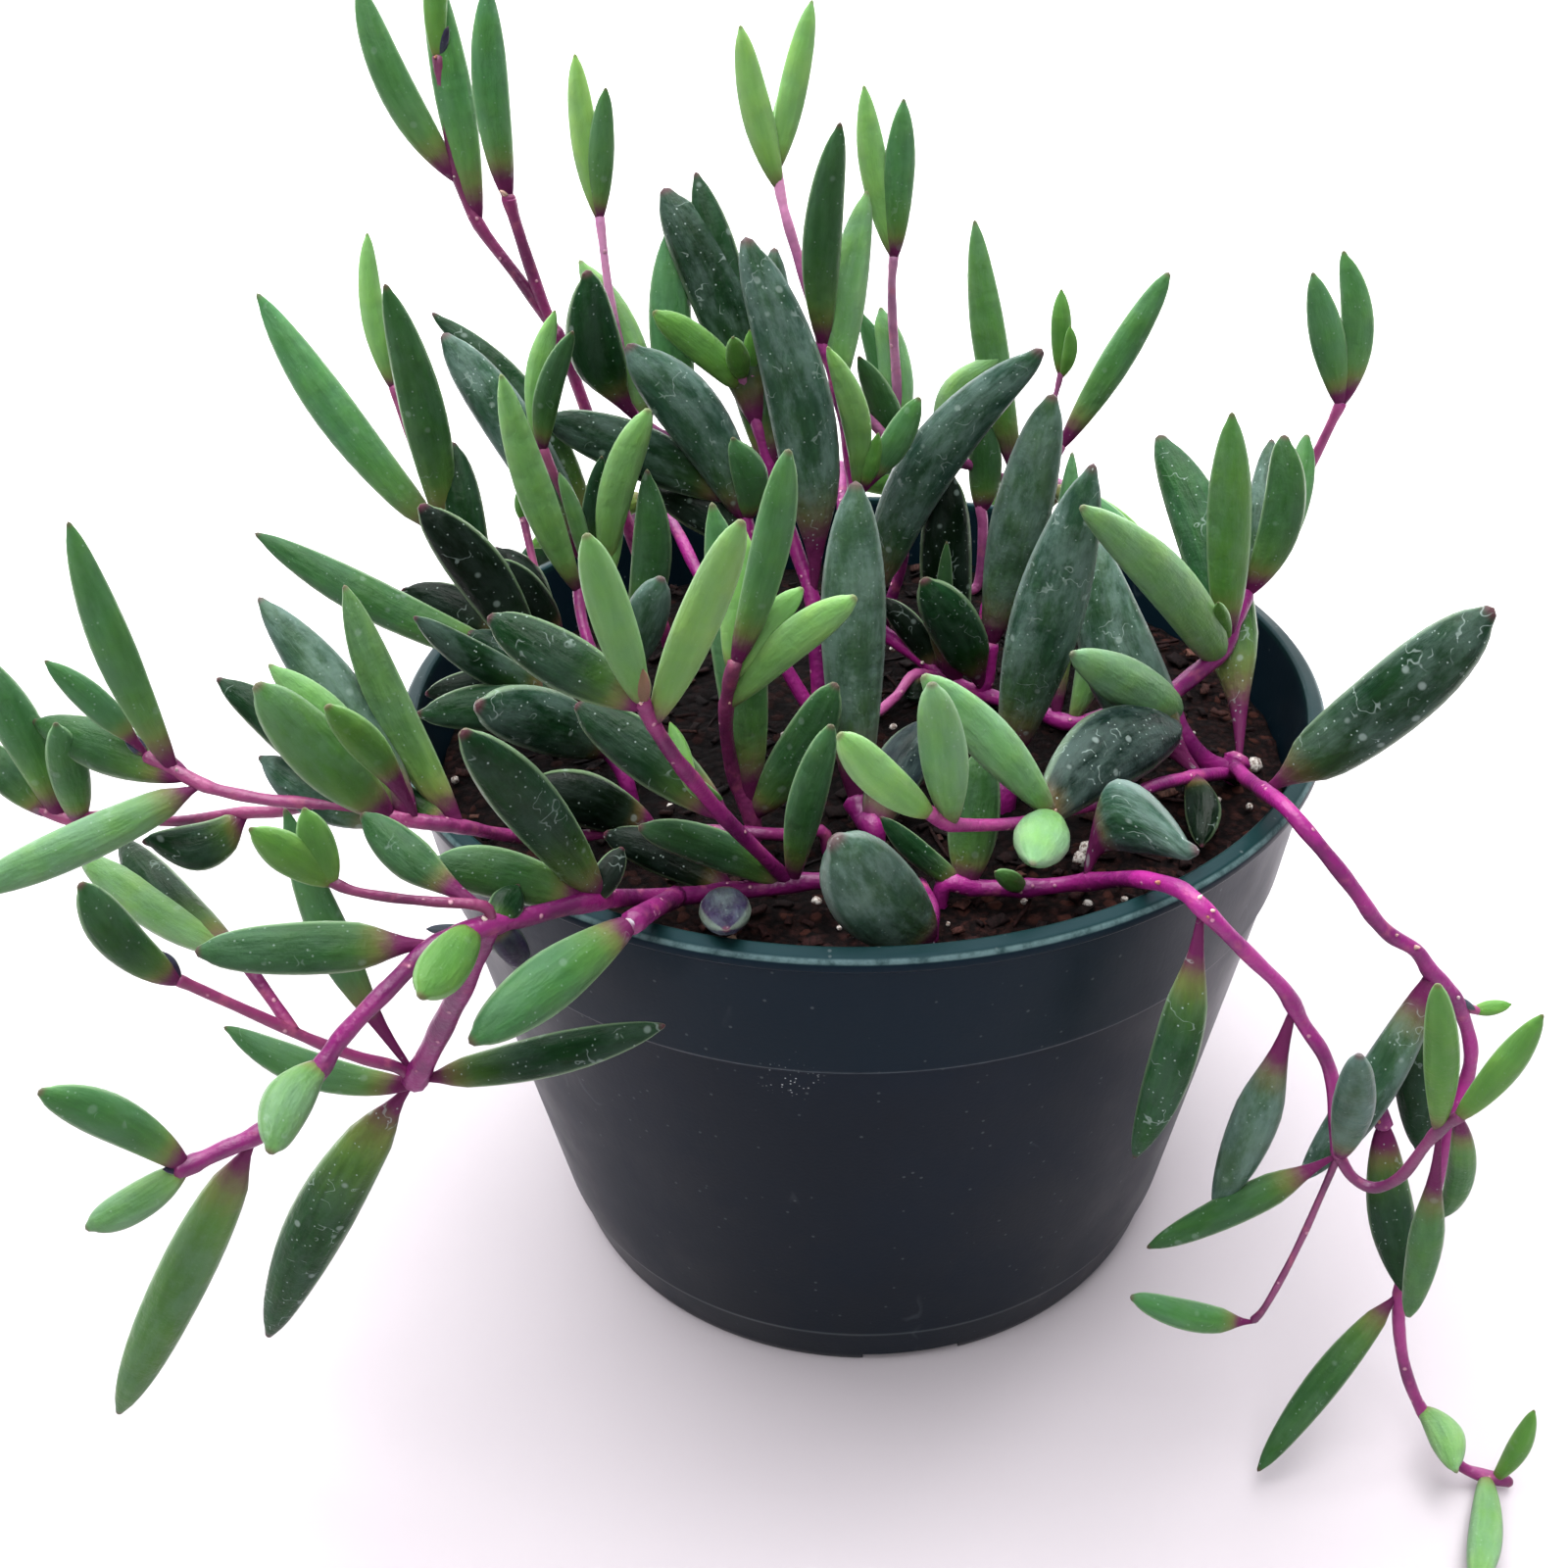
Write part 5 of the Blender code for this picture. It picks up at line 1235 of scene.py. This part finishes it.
def dress_back_shoot(name, shape, leaf_material, stem_material):
    """A hanging back shoot, whose leaves stand out in pairs and droop."""
    angle, stand, drop, pairs, rise = shape
    shoot = Shoot(name)
    angle = math.radians(angle)
    outward = Vector((math.cos(angle), math.sin(angle), 0))
    along_wall = Vector((-math.sin(angle), math.cos(angle), 0))
    radii = [
        BACK_STEM_RADIUS * (1 - BACK_STEM_TAPER * i / BACK_STEM_POINTS) for i in range(BACK_STEM_POINTS)
    ]
    route = [lifted(point, radius) for point, radius in zip(back_route(outward, stand, drop), radii)]
    line, sizes = smooth_route([buried(route[0])] + route, [radii[0]] + radii)
    knots = []
    for pair in range(pairs):
        share = FIRST_BACK_PAIR + (LAST_BACK_PAIR - FIRST_BACK_PAIR) * pair / (pairs - 1)
        place = share * (BACK_STEM_POINTS - 1)
        low = min(int(place), BACK_STEM_POINTS - 2)
        root = route[low].lerp(route[low + 1], place - low)
        root = min(line, key=lambda point: (point - root).length)
        knots.append(root)
        for side in (-1, 1):
            size = 1 - 0.08 * ((pair * 2 + side) % 3)
            course = along_wall * side * BACK_LEAF_SPREAD + outward * (BACK_LEAF_REACH + 0.1 * side)
            course.z = rise - BACK_LEAF_DROOP * pair
            tip = root + course.normalized() * BACK_LEAF_LENGTH * size
            tone = BACK_LEAF_TONES[(pair + (side > 0)) % len(BACK_LEAF_TONES)]
            shoot.add_leaf(root, tip, BACK_LEAF_WIDTH * size, BACK_LEAF_BOW * side, tone, BACK_LEAF_STALK)
    shoot.add_stem(line, sizes, knots)
    shoot.finish(leaf_material, stem_material)


# Pot and soil

def rounded(profile, size):
    """The profile with each inner corner made a short curve."""
    profile = [Vector(point) for point in profile]
    made = [profile[0]]
    for before, corner, after in zip(profile, profile[1:], profile[2:]):
        reach = min(size, 0.4 * (corner - before).length, 0.4 * (after - corner).length)
        start = corner + (before - corner).normalized() * reach
        end = corner + (after - corner).normalized() * reach
        for t in (0, 0.33, 0.67, 1):
            made.append(start.lerp(corner, t).lerp(corner.lerp(end, t), t))
    return made + [profile[-1]]


def turned(profile, steps):
    """A mesh turned round the upright axis from a profile of (radius, height) that ends on the axis."""
    bm = bmesh.new()
    chain, edges = chained(bm, [(radius, 0, height) for radius, height in profile])
    bmesh.ops.spin(
        bm, geom=chain + edges, cent=(0, 0, 0), axis=(0, 0, 1), angle=math.tau, steps=steps, use_merge=True
    )
    bmesh.ops.remove_doubles(bm, verts=bm.verts, dist=WELD)
    return bm


def add_cutter(cutters, bm, radius, angle, height):
    mesh = bpy.data.meshes.new("cutter")
    place = Matrix.Translation((radius * math.cos(angle), radius * math.sin(angle), height))
    bm.transform(place @ Matrix.Rotation(angle, 4, "Z"))
    bm.to_mesh(mesh)
    bm.free()
    cutters.objects.link(bpy.data.objects.new("cutter", mesh))


def dress_pot(plastic):
    profile = [
        (0, FLOOR_TOP),
        (FOOT_RADIUS - STEP, FLOOR_TOP),
        (COLLAR_RADIUS - WALL - STEP, COLLAR_HEIGHT - STEP),
        (COLLAR_RADIUS - WALL, COLLAR_HEIGHT),
        (LIP_INNER_RADIUS, RIM_HEIGHT - 0.2 * MM),
        (LIP_INNER_RADIUS + 0.3 * MM, RIM_HEIGHT),
        (RIM_RADIUS - 0.5 * MM, RIM_HEIGHT - 0.3 * MM),
        (RIM_RADIUS, RIM_HEIGHT - 0.8 * MM),
        (RIM_RADIUS, RIM_HEIGHT - LIP_DEPTH),
        (RIM_RADIUS - 0.9 * MM, RIM_HEIGHT - LIP_DEPTH - 0.3 * MM),
        (COLLAR_RADIUS, COLLAR_HEIGHT),
        (COLLAR_RADIUS - STEP, COLLAR_HEIGHT - STEP),
        (CREASE_RADIUS + 0.1 * MM, CREASE_HEIGHT + 0.3 * MM),
        (CREASE_RADIUS - 0.25 * MM, CREASE_HEIGHT - 0.4 * MM),
        (FOOT_RADIUS + 0.5 * MM, 1.2 * MM),
        (FOOT_RADIUS, 0),
        (FOOT_RADIUS - WALL, 0),
        (FOOT_RADIUS - WALL - 0.4 * MM, FLOOR_UNDER),
        (PAD_RADIUS + 1.2 * MM, FLOOR_UNDER),
        (PAD_RADIUS, 0),
        (0, 0),
    ]
    pot = add_piece("nursery_pot", turned(rounded(profile, CORNER), POT_STEPS), "pot_plastic", plastic, "pot")
    cutters = bpy.data.collections.new("pot_cutters")
    for i in range(NOTCHES):
        bm = bmesh.new()
        bmesh.ops.create_cube(bm, size=1)
        bmesh.ops.scale(bm, vec=(NOTCH_REACH, NOTCH_WIDTH, 2 * NOTCH_HEIGHT), verts=bm.verts)
        add_cutter(cutters, bm, FOOT_RADIUS, math.tau * i / NOTCHES - math.pi / 2 + NOTCH_TURN, 0)
    for i in range(DRAIN_HOLES):
        bm = bmesh.new()
        bmesh.ops.create_cone(
            bm, cap_ends=True, segments=DRAIN_SIDES, radius1=DRAIN_RADIUS, radius2=DRAIN_RADIUS,
            depth=4 * (FLOOR_TOP - FLOOR_UNDER),
        )
        angle = math.tau * (i + 0.5) / DRAIN_HOLES
        add_cutter(cutters, bm, DRAIN_CIRCLE, angle, (FLOOR_TOP + FLOOR_UNDER) / 2)
    boolean = pot.modifiers.new("Cut", "BOOLEAN")
    boolean.operation = "DIFFERENCE"
    boolean.operand_type = "COLLECTION"
    boolean.collection = cutters
    boolean.solver = "EXACT"
    mesh = mesh_of(pot)
    pot.modifiers.clear()
    pot.data = mesh
    for cutter in list(cutters.objects):
        bpy.data.objects.remove(cutter)
    bpy.data.collections.remove(cutters)
    mesh.shade_smooth()
    mesh.set_sharp_from_angle(angle=SHARP_EDGE)


def soil_relief(x, y):
    """Height of the dressed soil: the solid's waves with crumbs on them."""
    spot = Vector((x, y, 0)) / MM
    crumbs = noise.fractal(spot * LUMPS_PER_MM, 0.7, 2.1, 4) * 0.9 + noise.noise(spot * CRUMBS_PER_MM) * 0.35
    lowest, highest = CRUMB_LEVELS
    return soil_height(x, y) + CRUMB * max(min(crumbs, highest), lowest)


def dress_soil(skin):
    edge = wall_radius(SOIL_TOP - 2 * SOIL_EDGE_DROP) - GAP
    top = [(edge * i / SOIL_RINGS, SOIL_TOP) for i in range(SOIL_RINGS + 1)]
    low = FLOOR_TOP + GAP
    side = [
        (wall_radius(COLLAR_HEIGHT) - GAP, COLLAR_HEIGHT + GAP),
        (wall_radius(COLLAR_HEIGHT - STEP) - GAP, COLLAR_HEIGHT - STEP),
        (wall_radius(low) - GAP, low),
        (0, low),
    ]
    bm = turned(top + side, SOIL_STEPS)
    for vertex in bm.verts:
        if vertex.co.z > SOIL_TOP - 0.1 * MM:
            drop = SOIL_EDGE_DROP * (vertex.co.xy.length / edge) ** 6
            vertex.co.z = soil_relief(vertex.co.x, vertex.co.y) - drop
    add_piece("peat_plug", bm, "soil_peat", skin, "soil")


def on_soil(chance, inset):
    """A random place on the soil, this far from the wall or more, with its height."""
    reach = (wall_radius(SOIL_TOP) - inset) * math.sqrt(chance.random())
    angle = chance.uniform(0, math.tau)
    x, y = reach * math.cos(angle), reach * math.sin(angle)
    return Vector((x, y, soil_relief(x, y)))


def tumble(chance, tilt):
    turn = Matrix.Rotation(chance.uniform(0, math.tau), 4, "Z")
    turn = turn @ Matrix.Rotation(chance.uniform(-tilt, tilt), 4, "X")
    return turn @ Matrix.Rotation(chance.uniform(-tilt, tilt), 4, "Y")


def scatter_bark(skin):
    """Flakes and splinters strewn on the soil: small plates, bowed and ragged."""
    chance = random.Random(11)
    bm = bmesh.new()
    layer = bm.verts.layers.float_color.new("tone")
    for i in range(BARK_FLAKES + WOOD_SPLINTERS):
        if i < BARK_FLAKES:
            size = chance.uniform(*FLAKE_LENGTH_MM) * MM
            across = size * chance.uniform(*FLAKE_WIDTH_SHARE)
        else:
            size = chance.uniform(*SPLINTER_LENGTH_MM) * MM
            across = chance.uniform(*SPLINTER_WIDTH_MM) * MM
        thick = chance.uniform(*FLAKE_THICKNESS_MM) * MM
        spot = on_soil(chance, size / 2 + 1 * MM)
        made = bmesh.ops.create_grid(bm, x_segments=3, y_segments=2, size=0.5)["verts"]
        faces = list(dict.fromkeys(face for vertex in made for face in vertex.link_faces))
        raised = vertices_of(bmesh.ops.extrude_face_region(bm, geom=faces)["geom"])
        bmesh.ops.translate(bm, vec=(0, 0, 1), verts=raised)
        # Sorted by place, so that each corner takes the same draw in every run
        body = sorted(made + raised, key=lambda vertex: tuple(vertex.co))
        place = Matrix.Translation(spot + Vector((0, 0, 0.1 * MM))) @ tumble(chance, FLAKE_TILT)
        bow = chance.uniform(-FLAKE_BOW, FLAKE_BOW)
        for vertex in body:
            x, y, z = vertex.co
            ragged = 1 + chance.uniform(-FLAKE_RAGGEDNESS, FLAKE_RAGGEDNESS)
            bent = Vector((x * size * ragged, y * across * ragged, z * thick + bow * x * x * size * 0.6))
            vertex.co = place @ bent
        tone = chance.choices(FLAKE_TONES, FLAKE_TONE_SHARES)[0]
        for vertex in body:
            vertex[layer] = tone
    add_piece("bark_and_splinters", bm, "soil_peat", skin)


def scatter_grains(skin):
    """White grains on the soil, and a few larger ones where the picture shows them best."""
    chance = random.Random(5)
    bm = bmesh.new()
    spots = [on_soil(chance, 2 * MM) for _ in range(PALE_GRAINS)]
    for across, down in SEEN_GRAINS:
        sight = in_depth(across, down, 0) - EYE
        at = EYE + sight * ((SOIL_TOP - EYE.z) / sight.z)
        spots.append(Vector((at.x, at.y, soil_relief(at.x, at.y))))
    for number, spot in enumerate(spots):
        radius = chance.uniform(*GRAIN_RADIUS_MM) * MM if number < PALE_GRAINS else SEEN_GRAIN_RADIUS
        for vertex in bmesh.ops.create_icosphere(bm, subdivisions=2, radius=radius)["verts"]:
            vertex.co *= 1 + chance.uniform(-GRAIN_UNEVENNESS, GRAIN_UNEVENNESS)
            vertex.co += spot
    add_piece("pale_grains", bm, "soil_peat", skin)


# Studio

def studio():
    """A pale floor that curves up into a white backdrop, soft light and the camera."""
    profile = [(-FLOOR_REACH, 0), (BACKDROP_START, 0)]
    for i in range(1, BACKDROP_BEND_STEPS + 1):
        angle = math.pi / 2 * i / BACKDROP_BEND_STEPS
        reach, rise = BACKDROP_BEND * math.sin(angle), BACKDROP_BEND * (1 - math.cos(angle))
        profile.append((BACKDROP_START + reach, rise))
    profile.append((BACKDROP_START + BACKDROP_BEND, BACKDROP_HEIGHT))
    bm = bmesh.new()
    edges = chained(bm, [(-FLOOR_REACH, y, z) for y, z in profile])[1]
    made = bmesh.ops.extrude_edge_only(bm, edges=edges)["geom"]
    bmesh.ops.translate(bm, vec=(2 * FLOOR_REACH, 0, 0), verts=vertices_of(made))
    bmesh.ops.recalc_face_normals(bm, faces=bm.faces)
    floor = add_object("pale_floor", bm, floor_paint())

    world = bpy.data.worlds.new("soft_daylight")
    bpy.context.scene.world = world
    world.use_nodes = True
    sky = world.node_tree.nodes["Background"].inputs
    sky["Color"].default_value = DAYLIGHT
    sky["Strength"].default_value = DAYLIGHT_STRENGTH
    for name, (place, size, power) in LAMPS.items():
        lamp = bpy.data.lights.new(name, "AREA")
        lamp.size = size
        lamp.energy = power
        lit = bpy.data.objects.new(name, lamp)
        lit.location = place
        lit.rotation_euler = (LIT_MIDDLE - Vector(place)).to_track_quat("-Z", "Y").to_euler()
        bpy.context.scene.collection.objects.link(lit)

    lens = bpy.data.cameras.new("camera")
    lens.sensor_width = 36
    lens.lens = FOCAL_LENGTH / PICTURE_SIDE * lens.sensor_width
    lens.clip_start = 0.01
    camera = bpy.data.objects.new("camera", lens)
    camera.matrix_world = Matrix.Translation(EYE) @ EYE_TURN.to_4x4()
    bpy.context.scene.collection.objects.link(camera)
    bpy.context.scene.camera = camera
    bpy.context.scene.view_settings.view_transform = "Standard"


def main():
    specks, scribbles = speckle_group(), scribble_group()
    skins = leaf_skin(specks, scribbles), stem_skin(specks)
    for name, stems in SHOOTS.items():
        dress_shoot(name, stems, *skins)
    for name, shape in BACK_SHOOTS.items():
        dress_back_shoot(name, shape, *skins)
    dress_pot(pot_plastic(specks, scribbles))
    dress_soil(peat())
    scatter_bark(bark())
    scatter_grains(pale_mineral())
    studio()


main()
